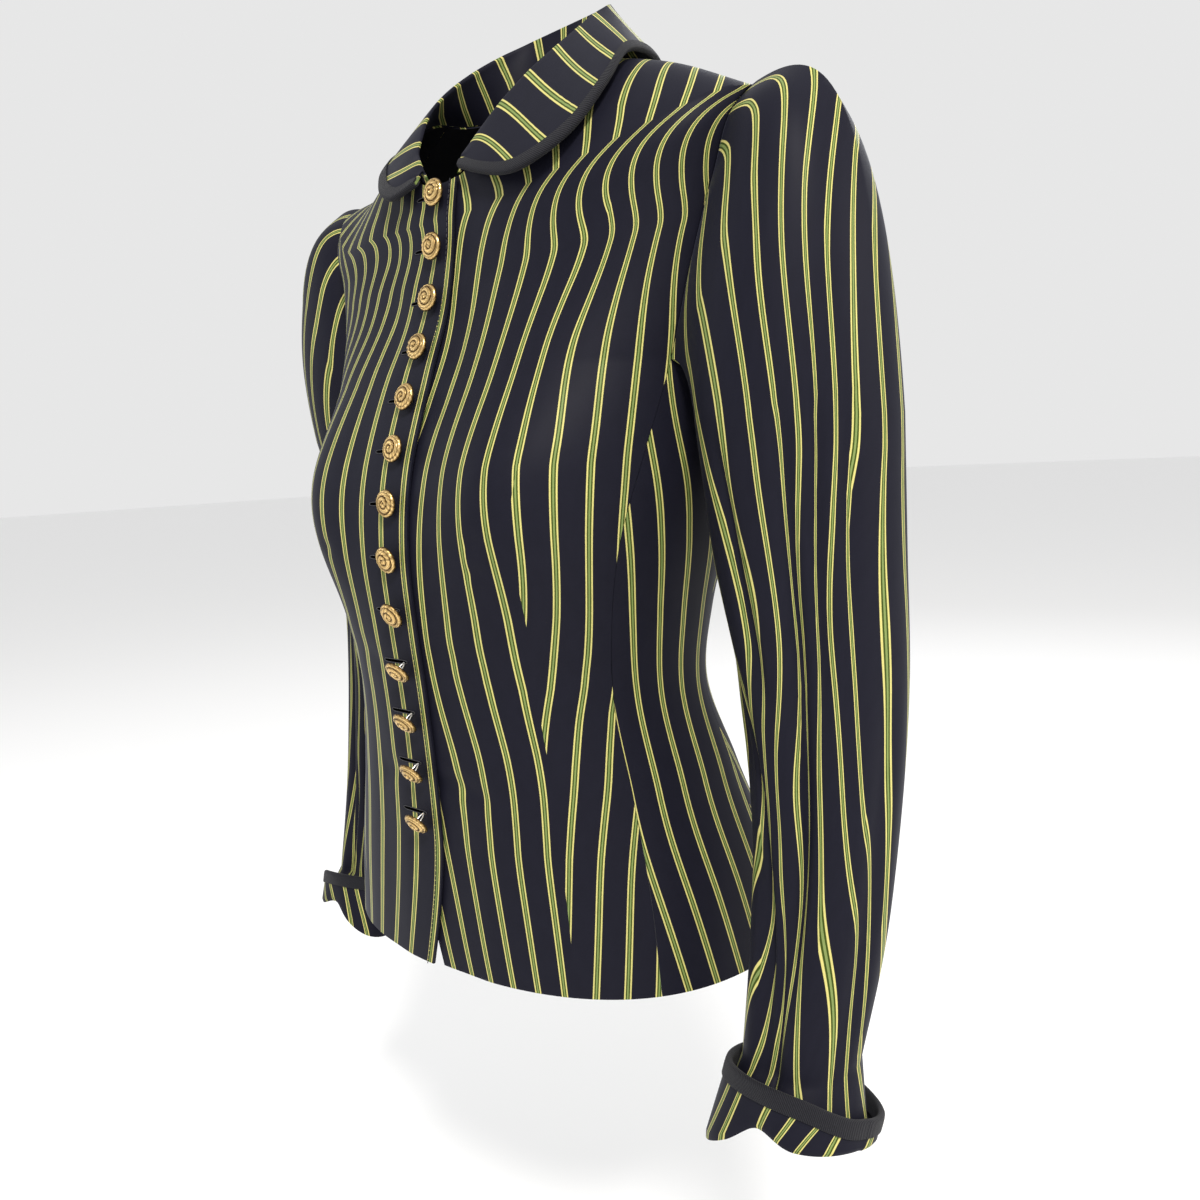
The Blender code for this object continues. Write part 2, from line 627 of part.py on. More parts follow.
def binding_mesh(name, panel, towards, most):
    """Ribbed tape folded over the panel's last row, and down both faces towards another row, for at
    most this share of the way."""
    edge, before = panel.points[-1], panel.points[towards]
    length = np.linalg.norm(before - edge, axis=1, keepdims=True)
    down = (before - edge) / length
    deep = np.minimum(TAPE_DEPTH, most * length)
    out = unit(panel.reach[-1])
    wide, narrow = TAPE["outside"], TAPE["inside"]
    over, turn = TAPE["over_edge"], TAPE["round_edge"]
    section = (
        (wide, 1, 0), (wide, 0, 0), (narrow, 0, -turn), (-narrow, 0, -turn), (-wide, 0, 0),
        (-wide, 1, 0), (-narrow, 1, 0), (-narrow, 0, -over), (narrow, 0, -over), (narrow, 1, 0),
    )
    shape = bmesh.new()
    loops = []
    for e, d, n, long in zip(edge, down, out, deep):
        loops.append([shape.verts.new((e + n * a + d * (long * b + c)) * CM) for a, b, c in section])
    count = len(loops)
    for k in range(count if panel.ring else count - 1):
        here, there = loops[k], loops[(k + 1) % count]
        for i in range(len(section)):
            j = (i + 1) % len(section)
            if section[i][1] >= section[j][1]:
                split(shape, here[i], here[j], there[j], there[i])
            else:
                split(shape, here[j], there[j], there[i], here[i])
    if not panel.ring:
        for loop in (loops[0], loops[-1]):
            shape.faces.new(loop)
    return finished(name, shape, "ribbed_tape")


def collar_half(table, right):
    grid = collar_grid(table, COLLAR_SHARES, COLLAR_PLACES, right)
    return grid * (-1, 1, 1) if right else grid


def button_places():
    """Where each button's stem meets the right front, and the cloth's direction there."""
    line = []
    for values in row_values(FRONT_ROWS, np.linspace(0, KNOTS[-1], 400)):
        line.append((0, values[1], values[0]))
    line = figure(np.array(line))[::-1]
    line[:, 1] -= LAP_LIFT
    length = np.concatenate([[0], np.cumsum(np.linalg.norm(np.diff(line, axis=0), axis=1))])
    first = np.interp(-BUTTONS["first_z"], -line[:, 2], length)
    at = first + BUTTONS["step"] * np.arange(BUTTONS["count"])
    points = np.stack([np.interp(at, length, line[:, k]) for k in range(3)], axis=-1)
    down = np.stack([np.interp(at + 0.5, length, line[:, k]) for k in range(3)], axis=-1) - points
    return points, unit(np.cross(down, (1.0, 0.0, 0.0)))


def button_object(name, place, direction, droop):
    """A domed button on its shank. droop turns its face down from the cloth's direction."""
    droop = np.radians(droop)
    lean = BUTTONS["radius"] * np.sin(droop) + BUTTONS["rim_clearance"]
    shank = max(BUTTONS["shank"], lean / np.cos(droop))
    foot = BUTTONS["shank_radius"]
    outline = [(radius, shank + height) for radius, height in BUTTON_OUTLINE]
    profile = [(foot, shank + BUTTON_OUTLINE[-1][1]), (foot, 0.0), (0.0, 0.0)]
    mesh = bpy.data.meshes.new(name)
    points = [(radius * CM, 0.0, height * CM) for radius, height in outline + profile]
    mesh.from_pydata(points, [(k, k + 1) for k in range(len(points) - 1)], [])
    turned = bpy.data.objects.new(name, mesh)
    screw = turned.modifiers.new("turned", "SCREW")
    screw.steps = screw.render_steps = BUTTONS["sides"]
    screw.use_merge_vertices = True
    screw.merge_threshold = 0.00001
    screw.use_smooth_shade = True
    tilted = Vector(direction)
    tilted.rotate(Quaternion((1.0, 0.0, 0.0), droop))
    clear = CLOTH / 2 + BUTTONS["clearance"] + foot * np.sin(droop)
    turned.rotation_euler = tilted.to_track_quat("Z", "Y").to_euler()
    turned.location = Vector(place + direction * clear) * CM
    return dressed(turned, "gilt")


# Colours, roughness and metallic value of what the pieces are made of.
MATERIALS = {
    "striped_satin": ((0.016, 0.017, 0.022, 1.0), 0.5, 0.0),
    "ribbed_tape": ((0.010, 0.011, 0.015, 1.0), 0.7, 0.0),
    "gilt": ((0.60, 0.38, 0.12, 1.0), 0.35, 0.9),
}


def dressed(made, kind):
    """Gives the object its own material and puts it in the jacket's collection."""
    colour, roughness, metallic = MATERIALS[kind]
    material = bpy.data.materials.new(made.name)
    material.use_nodes = True
    surface = material.node_tree.nodes["Principled BSDF"]
    surface.inputs["Base Color"].default_value = colour
    surface.inputs["Roughness"].default_value = roughness
    surface.inputs["Metallic"].default_value = metallic
    made.data.materials.append(material)
    jacket.objects.link(made)
    return made


def finished(name, shape, kind):
    bmesh.ops.recalc_face_normals(shape, faces=shape.faces)
    mesh = bpy.data.meshes.new(name)
    shape.to_mesh(mesh)
    shape.free()
    mesh.shade_smooth()
    mesh.set_sharp_from_angle(angle=np.radians(SHARP))
    return dressed(bpy.data.objects.new(name, mesh), kind)


# The scene starts empty, and all pieces go in one collection.
for old in list(bpy.data.objects):
    bpy.data.objects.remove(old)
jacket = bpy.data.collections.new("tailored_jacket")
bpy.context.scene.collection.children.link(jacket)

# The panels, sleeves and cuffs, and the tape on the cuffs.
for hand, right in (("left", False), ("right", True)):
    front, side, back, sleeve, cuff = body_half(right)
    for name, panel in (
        ("front", front), ("side", side), ("back", back), ("sleeve", sleeve), ("cuff", cuff),
    ):
        if right:
            panel.mirror()
        wall_mesh(f"{name}_{hand}", panel)
    binding_mesh(f"cuff_tape_{hand}", cuff, 1, 0.6)

# The collar in one piece, with tape round its outer edge.
left_half = collar_half(LEFT_COLLAR, False)
right_half = collar_half(RIGHT_COLLAR, True)
collar = Panel(np.concatenate([right_half, left_half[:, ::-1][:, 1:]], axis=1))
wall_mesh("collar", collar)
binding_mesh("collar_tape", collar, -2, 0.9)

# The buttons, top one first.
places, directions = button_places()
for number, (place, direction) in enumerate(zip(places, directions)):
    droop = np.interp(number, *DROOP)
    button_object(f"button_{number + 1:02d}", place, direction, droop)
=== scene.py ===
"""The looks of a fitted, striped tailored jacket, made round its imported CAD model.

Tables and functions are in centimetres, as the jacket was drawn: +X is the wearer's left, the front
faces -Y and +Z is up. Meshes are written in metres.
"""

import bmesh
import bpy
import numpy as np
from mathutils import Matrix, Quaternion, Vector


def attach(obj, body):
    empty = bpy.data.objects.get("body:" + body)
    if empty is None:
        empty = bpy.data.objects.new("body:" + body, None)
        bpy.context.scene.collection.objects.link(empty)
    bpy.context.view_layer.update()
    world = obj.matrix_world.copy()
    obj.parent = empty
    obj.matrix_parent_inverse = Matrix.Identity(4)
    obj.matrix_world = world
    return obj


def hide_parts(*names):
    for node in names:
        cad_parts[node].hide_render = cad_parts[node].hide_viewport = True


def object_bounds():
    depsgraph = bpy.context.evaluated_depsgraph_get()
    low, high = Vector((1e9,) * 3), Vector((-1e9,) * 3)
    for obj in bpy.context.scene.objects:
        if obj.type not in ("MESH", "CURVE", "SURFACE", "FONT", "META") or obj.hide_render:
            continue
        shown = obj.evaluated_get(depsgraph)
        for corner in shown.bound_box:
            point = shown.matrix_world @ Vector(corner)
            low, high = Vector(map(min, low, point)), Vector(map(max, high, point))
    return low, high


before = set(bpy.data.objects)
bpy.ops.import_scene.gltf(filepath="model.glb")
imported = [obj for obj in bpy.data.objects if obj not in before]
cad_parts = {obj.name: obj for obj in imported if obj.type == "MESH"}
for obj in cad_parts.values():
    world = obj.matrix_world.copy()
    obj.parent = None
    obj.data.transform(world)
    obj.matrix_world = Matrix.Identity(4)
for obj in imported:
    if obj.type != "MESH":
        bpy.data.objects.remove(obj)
cad_box = [list(corner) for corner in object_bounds()]
CM = 0.01

# The camera looks at the jacket's left front from a little above its waist, as the photograph does.
# Its lens has a focal length of 1095 pixels on a picture 1200 pixels wide.
CAMERA_PLACE = (0.5670, -0.5658, -0.2580)
CAMERA_RIGHT = (0.74426, 0.66587, -0.05191)
CAMERA_UP = (-0.04646, 0.12916, 0.99054)
FOCAL_PIXELS, PICTURE_PIXELS = 1095, 1200
SENSOR, NEAREST = 36.0, 0.01


def linked(name, data):
    """An object in the scene that holds this mesh, camera or lamp."""
    made = bpy.data.objects.new(name, data)
    bpy.context.scene.collection.objects.link(made)
    return made


camera = linked("camera", bpy.data.cameras.new("camera"))
right, up = Vector(CAMERA_RIGHT).normalized(), Vector(CAMERA_UP).normalized()
camera.matrix_world = Matrix.Translation(CAMERA_PLACE) @ Matrix(
    (right, up, right.cross(up))
).transposed().to_4x4()
camera.data.sensor_width = SENSOR
camera.data.lens = SENSOR * FOCAL_PIXELS / PICTURE_PIXELS
camera.data.clip_start = NEAREST
bpy.context.scene.camera = camera

# The room: a plain pale floor well below the hanging jacket, pale air and soft studio lights. The
# strongest light comes from above the camera, and a low one from behind lights the arm's edge.
FLOOR = {"below": 0.30, "half": 30.0, "colour": (0.92, 0.92, 0.92, 1.0), "roughness": 0.9}
LIGHTS = (
    # name, place, aim, size, watts, colour
    ("key", (1.7, -1.5, 1.9), (0.0, 0.0, -0.25), 0.7, 95.0, (1.0, 0.97, 0.92)),
    ("fill", (-2.2, -1.6, 0.5), (0.0, 0.0, -0.35), 1.8, 9.0, (0.90, 0.95, 1.0)),
    ("side", (2.6, 0.9, 0.6), (0.1, 0.0, -0.30), 0.8, 24.0, (1.0, 0.96, 0.90)),
    ("back", (-0.6, 2.6, 1.4), (0.0, 0.0, -0.30), 1.6, 16.0, (0.95, 0.97, 1.0)),
)
AIR = {"colour": (1.0, 1.0, 1.0, 1.0), "strength": 0.80}

world = bpy.data.worlds.new("air")
world.use_nodes = True
air = world.node_tree.nodes["Background"]
air.inputs["Color"].default_value = AIR["colour"]
air.inputs["Strength"].default_value = AIR["strength"]
bpy.context.scene.world = world
bpy.context.scene.view_settings.view_transform = "Standard"

for name, place, aim, size, watts, colour in LIGHTS:
    lamp = bpy.data.lights.new(name, "AREA")
    lamp.shape, lamp.size, lamp.energy, lamp.color = "DISK", size, watts, colour
    holder = linked(name, lamp)
    holder.location = place
    holder.rotation_euler = (Vector(aim) - Vector(place)).to_track_quat("-Z", "Y").to_euler()

floor_z = cad_box[0][2] - FLOOR["below"]
half = FLOOR["half"]
floor_mesh = bpy.data.meshes.new("floor")
floor_mesh.from_pydata(
    [(x, y, floor_z) for x, y in ((-half, -half), (half, -half), (half, half), (-half, half))],
    [], [(0, 1, 2, 3)],
)
floor = linked("floor", floor_mesh)
pale = bpy.data.materials.new("floor_paint")
pale.use_nodes = True
paint = pale.node_tree.nodes["Principled BSDF"]
paint.inputs["Base Color"].default_value = FLOOR["colour"]
paint.inputs["Roughness"].default_value = FLOOR["roughness"]
floor_mesh.materials.append(pale)

# The body's form: the rings that the bodice is drawn on, from hem to chest, the yoke's rows above the
# armpit, and the fullness that the darts and seams give. The numbers are the pattern's own.
RING_COLUMNS = ("z", "half_width", "y_front", "y_middle", "y_back", "front_seam", "back_seam")
RINGS = {
    "hem": (-59.3, 17.4, -12.2, 0.8, 13.0, 56.0, 110.0),
    "hip": (-53.5, 16.4, -12.2, 0.5, 11.6, 57.5, 110.0),
    "high_hip": (-47.0, 14.6, -12.3, 0.0, 9.2, 60.0, 110.0),
    "waist": (-40.5, 13.1, -12.7, -0.6, 7.2, 62.0, 110.0),
    "midriff": (-36.0, 13.6, -13.1, -0.5, 7.9, 62.0, 110.0),
    "under_bust": (-31.0, 14.8, -13.3, -0.2, 9.1, 62.5, 110.0),
    "bust": (-26.5, 15.8, -12.7, 0.2, 10.0, 64.0, 110.0),
    "armpit": (-20.0, 16.2, -10.4, 0.4, 10.3, 69.0, 112.0),
}
YOKE_COLUMNS = ("z_middle", "y_middle_line", "x_end", "y_end", "z_end", "turn")
FRONT_YOKE = {
    "low_armhole": (-15.8, -8.7, 16.7, -2.8, -14.5, 66.0),
    "high_armhole": (-12.2, -7.9, 17.9, -1.9, -9.4, 73.0),
    "top_armhole": (-10.6, -7.7, 18.8, -1.3, -6.2, 79.0),
    "shoulder_tip": (-9.7, -7.6, 19.2, 0.3, -4.6, 84.0),
    "shoulder": (-8.5, -7.4, 13.4, 0.3, -1.8, 87.0),
    "neck": (-7.4, -7.2, 7.4, 0.0, 0.0, 88.0),
}
BACK_YOKE = {
    "low_armhole": (-14.2, 10.1, 16.3, 6.2, -14.0, 62.0),
    "high_armhole": (-7.6, 8.9, 17.6, 4.6, -8.6, 66.0),
    "top_armhole": (-4.8, 8.1, 18.8, 2.4, -5.6, 76.0),
    "shoulder_tip": (-3.0, 7.4, 19.2, 0.3, -4.6, 84.0),
    "shoulder": (-0.6, 6.2, 13.4, 0.3, -1.8, 87.0),
    "neck": (1.0, 5.6, 7.4, 0.0, 0.0, 88.0),
}
ARMHOLE_DIP = {"depth": 1.6, "from_z": -30.0, "to_z": -19.0}
SQUARENESS = 0.05
BUST = {"x": 9.4, "z": -27.5, "depth": 1.9, "half_width": 4.6, "half_height": 6.5}
FLUTES = ((128.0, 9.0, 0.9), (152.0, 9.0, 0.7), (172.0, 8.0, 0.5))
FLUTE_TOP, FLUTE_POWER = -44.0, 1.5
LAP = 1.5
LAP_LIFT = 0.16
LAP_FADE = (2.2, 5.5)
EDGE_OPENING = {"from_z": -50.0, "at_hem": 1.9, "power": 1.5}
PANEL_ROWS = (("seam", 150), ("armhole", 56), ("shoulder", 34))
DART_SPLIT = (36, 22)
SIDE_COLUMNS = 24
BACK_COLUMNS = 46


def hermite(knots, values, at):
    """A smooth curve through the values, evaluated at one or many places."""
    knots = np.asarray(knots, float)
    values = np.asarray(values, float).reshape(len(knots), -1)
    at = np.atleast_1d(np.asarray(at, float))
    slopes = np.gradient(values, knots, axis=0)
    piece = np.clip(np.searchsorted(knots, at, side="right") - 1, 0, len(knots) - 2)
    width = (knots[piece + 1] - knots[piece])[:, None]
    s = ((at - knots[piece])[:, None]) / width
    start, end = values[piece], values[piece + 1]
    return (
        (2 * s**3 - 3 * s**2 + 1) * start
        + (s**3 - 2 * s**2 + s) * width * slopes[piece]
        + (3 * s**2 - 2 * s**3) * end
        + (s**3 - s**2) * width * slopes[piece + 1]
    )


def smoothstep(low, high, value):
    share = np.clip((np.asarray(value, float) - low) / (high - low), 0.0, 1.0)
    return share * share * (3 - 2 * share)


def from_table(table, at):
    """A table's later columns as smooth curves, at places in its first column."""
    table = np.array(table)
    return hermite(table[:, 0], table[:, 1:], at)


def squared(turn):
    """How much further out than an ellipse the body's section lies at this turn."""
    return 1 + SQUARENESS * np.sin(2 * turn) ** 2


def rows_of(rings, yoke, back):
    """The front's or the back's rows, hem first: middle z and y, the end's x, y and z, and its turn."""
    rows = []
    for values in rings.values():
        ring = dict(zip(RING_COLUMNS, values))
        turn = np.radians(180 - ring["back_seam"] if back else ring["front_seam"])
        y_line = ring["y_back"] if back else ring["y_front"]
        reach = squared(turn)
        x = ring["half_width"] * np.sin(turn) * reach
        y = ring["y_middle"] + (y_line - ring["y_middle"]) * np.cos(turn) * reach
        rows.append((ring["z"], y_line, x, y, ring["z"], turn))
    for values in yoke.values():
        row = dict(zip(YOKE_COLUMNS, values))
        rows.append((*values[:5], np.radians(row["turn"])))
    return np.array(rows)


FRONT_ROWS = rows_of(RINGS, FRONT_YOKE, back=False)
BACK_ROWS = rows_of(RINGS, BACK_YOKE, back=True)
ARMPIT = len(RINGS) - 1
TIP = ARMPIT + 4
NECK = TIP + 2


def row_knots():
    """How far up the garment each row lies, as the mean of the steps along its lines."""
    steps = 0
    for rows in (FRONT_ROWS, BACK_ROWS):
        middle = np.linalg.norm(np.diff(rows[:, :2], axis=0), axis=1)
        end = np.linalg.norm(np.diff(rows[:, 2:5], axis=0), axis=1)
        steps = steps + (middle + end) / 4
    return np.concatenate([[0], np.cumsum(steps)])


KNOTS = row_knots()


def levels(parts):
    """Places up the garment: evenly spaced in each stretch of the panel's side edge."""
    ends = {"seam": (0, ARMPIT), "armhole": (ARMPIT, TIP), "shoulder": (TIP, NECK)}
    found = []
    for name, count in parts:
        low, high = (KNOTS[k] for k in ends[name])
        found.append(np.linspace(low, high, count + 1)[1 if found else 0 :])
    return np.concatenate(found)


def row_values(rows, level):
    """Middle z and y, end x, y and z, and turn of the row at each level. The end has a corner at the
    armpit and at the shoulder's tip."""
    level = np.atleast_1d(level)
    middle = hermite(KNOTS, rows[:, :2], level)
    turn = hermite(KNOTS, rows[:, 5], level)
    end = np.empty((len(level), 3))
    for low, high in ((0, ARMPIT), (ARMPIT, TIP), (TIP, NECK)):
        inside = (level >= KNOTS[low] - 1e-9) & (level <= KNOTS[high] + 1e-9)
        if inside.any():
            span = slice(low, high + 1)
            end[inside] = hermite(KNOTS[span], rows[span, 2:5], level[inside])
    return np.hstack([middle, end, turn])


def along_row(values, turn):
    """Points of one row at these turns from the middle line."""
    z_middle, y_line, x_end, y_end, z_end, turn_end = values
    reach = squared(turn_end)
    half_width = x_end / (np.sin(turn_end) * reach)
    share = np.cos(turn_end) * reach
    y_middle = (y_end - y_line * share) / (1 - share)
    out = squared(turn)
    x = half_width * np.sin(turn) * out
    y = y_middle + (y_line - y_middle) * np.cos(turn) * out
    z = z_middle + (z_end - z_middle) * (np.sin(turn) / np.sin(turn_end)) ** 2
    return np.stack([x, y, z], axis=-1)


def figure(points):
    """The bust, and the flutes of the flared skirt."""
    shaped = points.copy()
    x, y, z = points[..., 0], points[..., 1], points[..., 2]
    up = (z - BUST["z"]) / BUST["half_height"]
    across = (x - BUST["x"]) / BUST["half_width"]
    shaped[..., 1] -= np.where(y < 0, BUST["depth"] * np.exp(-(up**2) - across**2), 0)
    around = np.degrees(np.arctan2(x, -y))
    fall = np.clip((FLUTE_TOP - z) / (FLUTE_TOP - RINGS["hem"][0]), 0, None) ** FLUTE_POWER
    for turn, half_width, depth in FLUTES:
        swell = depth * fall * np.exp(-(((around - turn) / half_width) ** 2))
        shaped[..., 0] += swell * np.sin(np.radians(around))
        shaped[..., 1] -= swell * np.cos(np.radians(around))
    return shaped


def edge_x(z):
    """Where the front's edge runs, from past the middle to behind it under the last button."""
    from_z, at_hem, power = EDGE_OPENING.values()
    return -LAP + at_hem * np.clip((from_z - z) / (from_z - RINGS["hem"][0]), 0, 1) ** power


# The waist dart's line: how far round the front it runs at each height, as a share of the turn from
# the middle to the side-front seam. Above its point it is only a line of the cloth.
DART_LINE = (
    # z, share
    (-59.3, 0.652), (-50.4, 0.650), (-43.9, 0.664), (-39.7, 0.665), (-35.1, 0.647), (-30.2, 0.618),
    (-26.0, 0.600), (10.0, 0.600),
)


def front_turns(values):
    """Turns of one row's points: from the edge to the dart's line, and on to the seam."""
    reach = values[2] / np.sin(values[5])
    start = np.arcsin(edge_x(values[0]) / reach)
    line = np.array(DART_LINE)
    dart = values[5] * np.interp(values[0], line[:, 0], line[:, 1])
    before, after = DART_SPLIT
    return np.concatenate([
        np.linspace(start, dart, before + 1), np.linspace(dart, values[5], after + 1)[1:],
    ])


def front_grid(lap_side=0):
    """The wearer's left front. lap_side lifts the lapping edge out, 1, or in, -1."""
    grid = figure(np.array([
        along_row(values, front_turns(values))
        for values in row_values(FRONT_ROWS, levels(PANEL_ROWS))
    ]))
    near = 1 - smoothstep(*LAP_FADE, grid[..., 0])
    grid[..., 1] -= lap_side * LAP_LIFT * near
    return grid


def back_grid():
    return figure(np.array([
        along_row(values, np.linspace(0, values[5], BACK_COLUMNS))
        for values in row_values(BACK_ROWS, levels(PANEL_ROWS))
    ]))


def side_grid():
    """The panel under the arm, front seam first. Its top dips to the bottom of the armhole."""
    places = levels(PANEL_ROWS[:1])
    share = np.linspace(0, 1, SIDE_COLUMNS)
    grid = []
    for front, back in zip(row_values(FRONT_ROWS, places), row_values(BACK_ROWS, places)):
        turn = front[5] + (np.pi - back[5] - front[5]) * share
        ahead = along_row(front, turn)
        behind = along_row(back, np.pi - turn)
        row = ahead + (behind - ahead) * smoothstep(0, 1, share)[:, None]
        near = smoothstep(ARMHOLE_DIP["from_z"], ARMHOLE_DIP["to_z"], front[0])
        row[:, 2] -= ARMHOLE_DIP["depth"] * np.sin(np.pi * share) * near
        grid.append(row)
    return figure(np.array(grid))


# The arm's form: the sleeve's rings, how the cloth leaves the armhole over a slightly full head, its
# large folds, and the turned-back cuff. The right shoulder is lower, and the right arm hangs back.
SLEEVE_COLUMNS = ("x", "y", "z", "half_length", "half_breadth", "heading", "front_drop")
SLEEVE = {
    "bicep": (22.1, -0.2, -24.0, 6.1, 4.8, 50.0, 0.0),
    "upper_elbow": (22.3, 0.2, -32.0, 5.7, 4.8, 50.0, 0.0),
    "elbow": (23.0, 0.0, -40.0, 5.1, 4.6, 50.0, 0.0),
    "forearm": (23.8, -1.3, -48.0, 4.3, 4.0, 50.0, 0.0),
    "low_forearm": (24.0, -3.0, -55.0, 3.9, 3.6, 50.0, 0.0),
    "wrist": (24.0, -5.0, -60.8, 3.4, 3.2, 50.0, 0.2),
}
RIGHT_SHOULDER = {
    "x": (0.0, 7.4, 13.4, 19.2),
    "lower": (0.0, 0.8, 2.2, 0.2),
    "inward": (0.0, 0.0, 0.3, 1.0),
    "fade": (-18.0, -5.0),
}
RIGHT_ARM = (
    # z, how far back, how far inward
    (-64.0, 5.2, 0.6), (-40.0, 3.8, 0.3), (-24.0, 3.0, -0.4), (-12.0, 1.4, 0.4), (-5.0, 0.0, 0.0),
)
HEAD = (
    # turn round the arm, how the cloth leaves the armhole in x, y and z, how far it turns down
    (0.0, 5.0, 0.0, 1.5, 18.5),
    (35.0, 4.2, -2.4, 1.2, 15.0),
    (90.0, 1.8, -2.2, 0.4, 6.0),
    (140.0, 1.4, -0.3, 0.0, 1.5),
    (180.0, 1.6, 0.0, -0.3, 0.5),
    (220.0, 1.4, 0.3, 0.0, 1.5),
    (270.0, 1.8, 2.6, 0.4, 6.0),
    (325.0, 4.2, 2.8, 1.2, 15.0),
    (360.0, 5.0, 0.0, 1.5, 18.5),
)
FOLD_COLUMNS = ("around_from", "z_from", "around_to", "z_to", "half_width", "depth")
SLEEVE_FOLDS = (
    (118.0, -50.0, 96.0, -62.5, 13.0, 0.7),
    (62.0, -30.0, 78.0, -58.0, 14.0, 0.35),
    (150.0, -34.0, 128.0, -46.0, 14.0, 0.4),
    (252.0, -36.0, 282.0, -58.0, 15.0, 0.45),
    (10.0, -40.0, 24.0, -60.0, 12.0, 0.25),
    (64.0, -24.0, 80.0, -60.0, 6.0, 0.50),
    (44.0, -20.0, 57.0, -41.0, 5.0, 0.34),
    (108.0, -26.0, 99.0, -40.0, 6.0, 0.40),
    (122.0, -40.0, 104.0, -56.0, 5.0, 0.42),
    (92.0, -52.0, 84.0, -63.0, 5.5, 0.48),
    (28.0, -18.0, 36.0, -34.0, 5.0, 0.20),
    (200.0, -30.0, 214.0, -52.0, 7.0, 0.30),
    (300.0, -26.0, 288.0, -44.0, 7.0, 0.24),
    (322.0, -40.0, 334.0, -60.0, 6.0, 0.22),
)
FOLD_STARTS, FOLD_ENDS = (-0.25, 0.3), (0.75, 1.15)
HEAD_ROWS, SLEEVE_ROWS, LAST_ROWS = 36, 120, 10
CUFF = (
    # turn round the wrist, reach and z of the fold, reach and z of the top
    (-33.0, 4.7, -64.8, 4.6, -63.8),
    (10.0, 4.2, -64.1, 4.2, -62.8),
    (57.0, 3.8, -63.6, 3.9, -61.1),
    (100.0, 3.4, -63.1, 3.9, -60.6),
    (122.0, 4.2, -64.3, 3.9, -60.7),
    (147.0, 5.0, -65.4, 4.0, -61.0),
    (190.0, 4.3, -65.4, 4.1, -61.6),
    (240.0, 4.0, -65.2, 4.2, -62.5),
    (290.0, 4.1, -65.0, 4.0, -63.3),
    (327.0, 4.7, -64.8, 4.6, -63.8),
    (370.0, 4.2, -64.1, 4.2, -62.8),
)
FOLD_MIDDLE = (24.2, -6.6)
TOP_MIDDLE = (24.2, -5.7)
LIP = {"inset": 0.5, "above": 0.3}
CUFF_ROWS = 16


def armhole(front, side, back):
    """The armhole's loop on the wearer's left: shoulder tip, down the front, under, up the back."""
    notch = dict(PANEL_ROWS)["seam"]
    tip = notch + dict(PANEL_ROWS)["armhole"]
    return np.concatenate([
        front[tip:notch:-1, -1], side[-1], back[notch + 1 : tip, -1],
    ])


def lengths_along(line):
    """How far along a line of points each point lies."""
    return np.concatenate([[0], np.cumsum(np.linalg.norm(np.diff(line, axis=0), axis=1))])


def around_loop(loop):
    """How far round the loop each point lies, in degrees, with the shoulder tip at 0 and the lowest
    point at 180."""
    length = lengths_along(np.vstack([loop, loop[:1]]))
    low = np.argmin(loop[:, 2])
    return np.interp(length[:-1], (0, length[low], length[-1]), (0, 180, 360))


def sleeve_ring(values, around):
    ring = dict(zip(SLEEVE_COLUMNS, values))
    heading = np.radians(ring["heading"])
    turn = -np.radians(around) - heading
    along, across = ring["half_length"] * np.cos(turn), ring["half_breadth"] * np.sin(turn)
    return np.stack([
        ring["x"] + along * np.cos(heading) - across * np.sin(heading),
        ring["y"] + along * np.sin(heading) + across * np.cos(heading),
        ring["z"] - ring["front_drop"] * np.sin(np.radians(around)),
    ], axis=-1)


def unit(vectors):
    return vectors / np.maximum(np.linalg.norm(vectors, axis=-1, keepdims=True), 1e-9)


def each_fold(points, around):
    """For each fold its values, and at each point the turn from its line and its strength there."""
    for values in SLEEVE_FOLDS:
        fold = dict(zip(FOLD_COLUMNS, values))
        down = (fold["z_from"] - points[..., 2]) / (fold["z_from"] - fold["z_to"])
        line = fold["around_from"] + (fold["around_to"] - fold["around_from"]) * down
        apart = (around - line + 180) % 360 - 180
        yield fold, apart, smoothstep(*FOLD_STARTS, down) * (1 - smoothstep(*FOLD_ENDS, down))


def sleeve_folds(points, around, middle):
    """Valleys that run down the arm, pressed in towards its middle."""
    pressed = points.copy()
    for fold, apart, along in each_fold(points, around):
        across = np.exp(-((apart / fold["half_width"]) ** 2))
        inward = middle - points
        inward[..., 2] = 0
        pressed += (fold["depth"] * across * along)[..., None] * unit(inward)
    return pressed


def cuff_grid(around):
    """The cuff from where the sleeve ends, out to its fold and up to its top edge."""
    fold_reach, fold_z, top_reach, top_z = from_table(CUFF, around).T
    out = np.stack([np.cos(np.radians(around)), -np.sin(np.radians(around))], axis=-1)
    fold = np.column_stack([np.array(FOLD_MIDDLE) + fold_reach[:, None] * out, fold_z])
    lip = fold + np.column_stack([-LIP["inset"] * out, np.full(len(out), LIP["above"])])
    top = np.column_stack([np.array(TOP_MIDDLE) + top_reach[:, None] * out, top_z])
    shares = np.linspace(0, 1, CUFF_ROWS)
    return np.array([lip] + [fold + (top - fold) * share for share in shares])


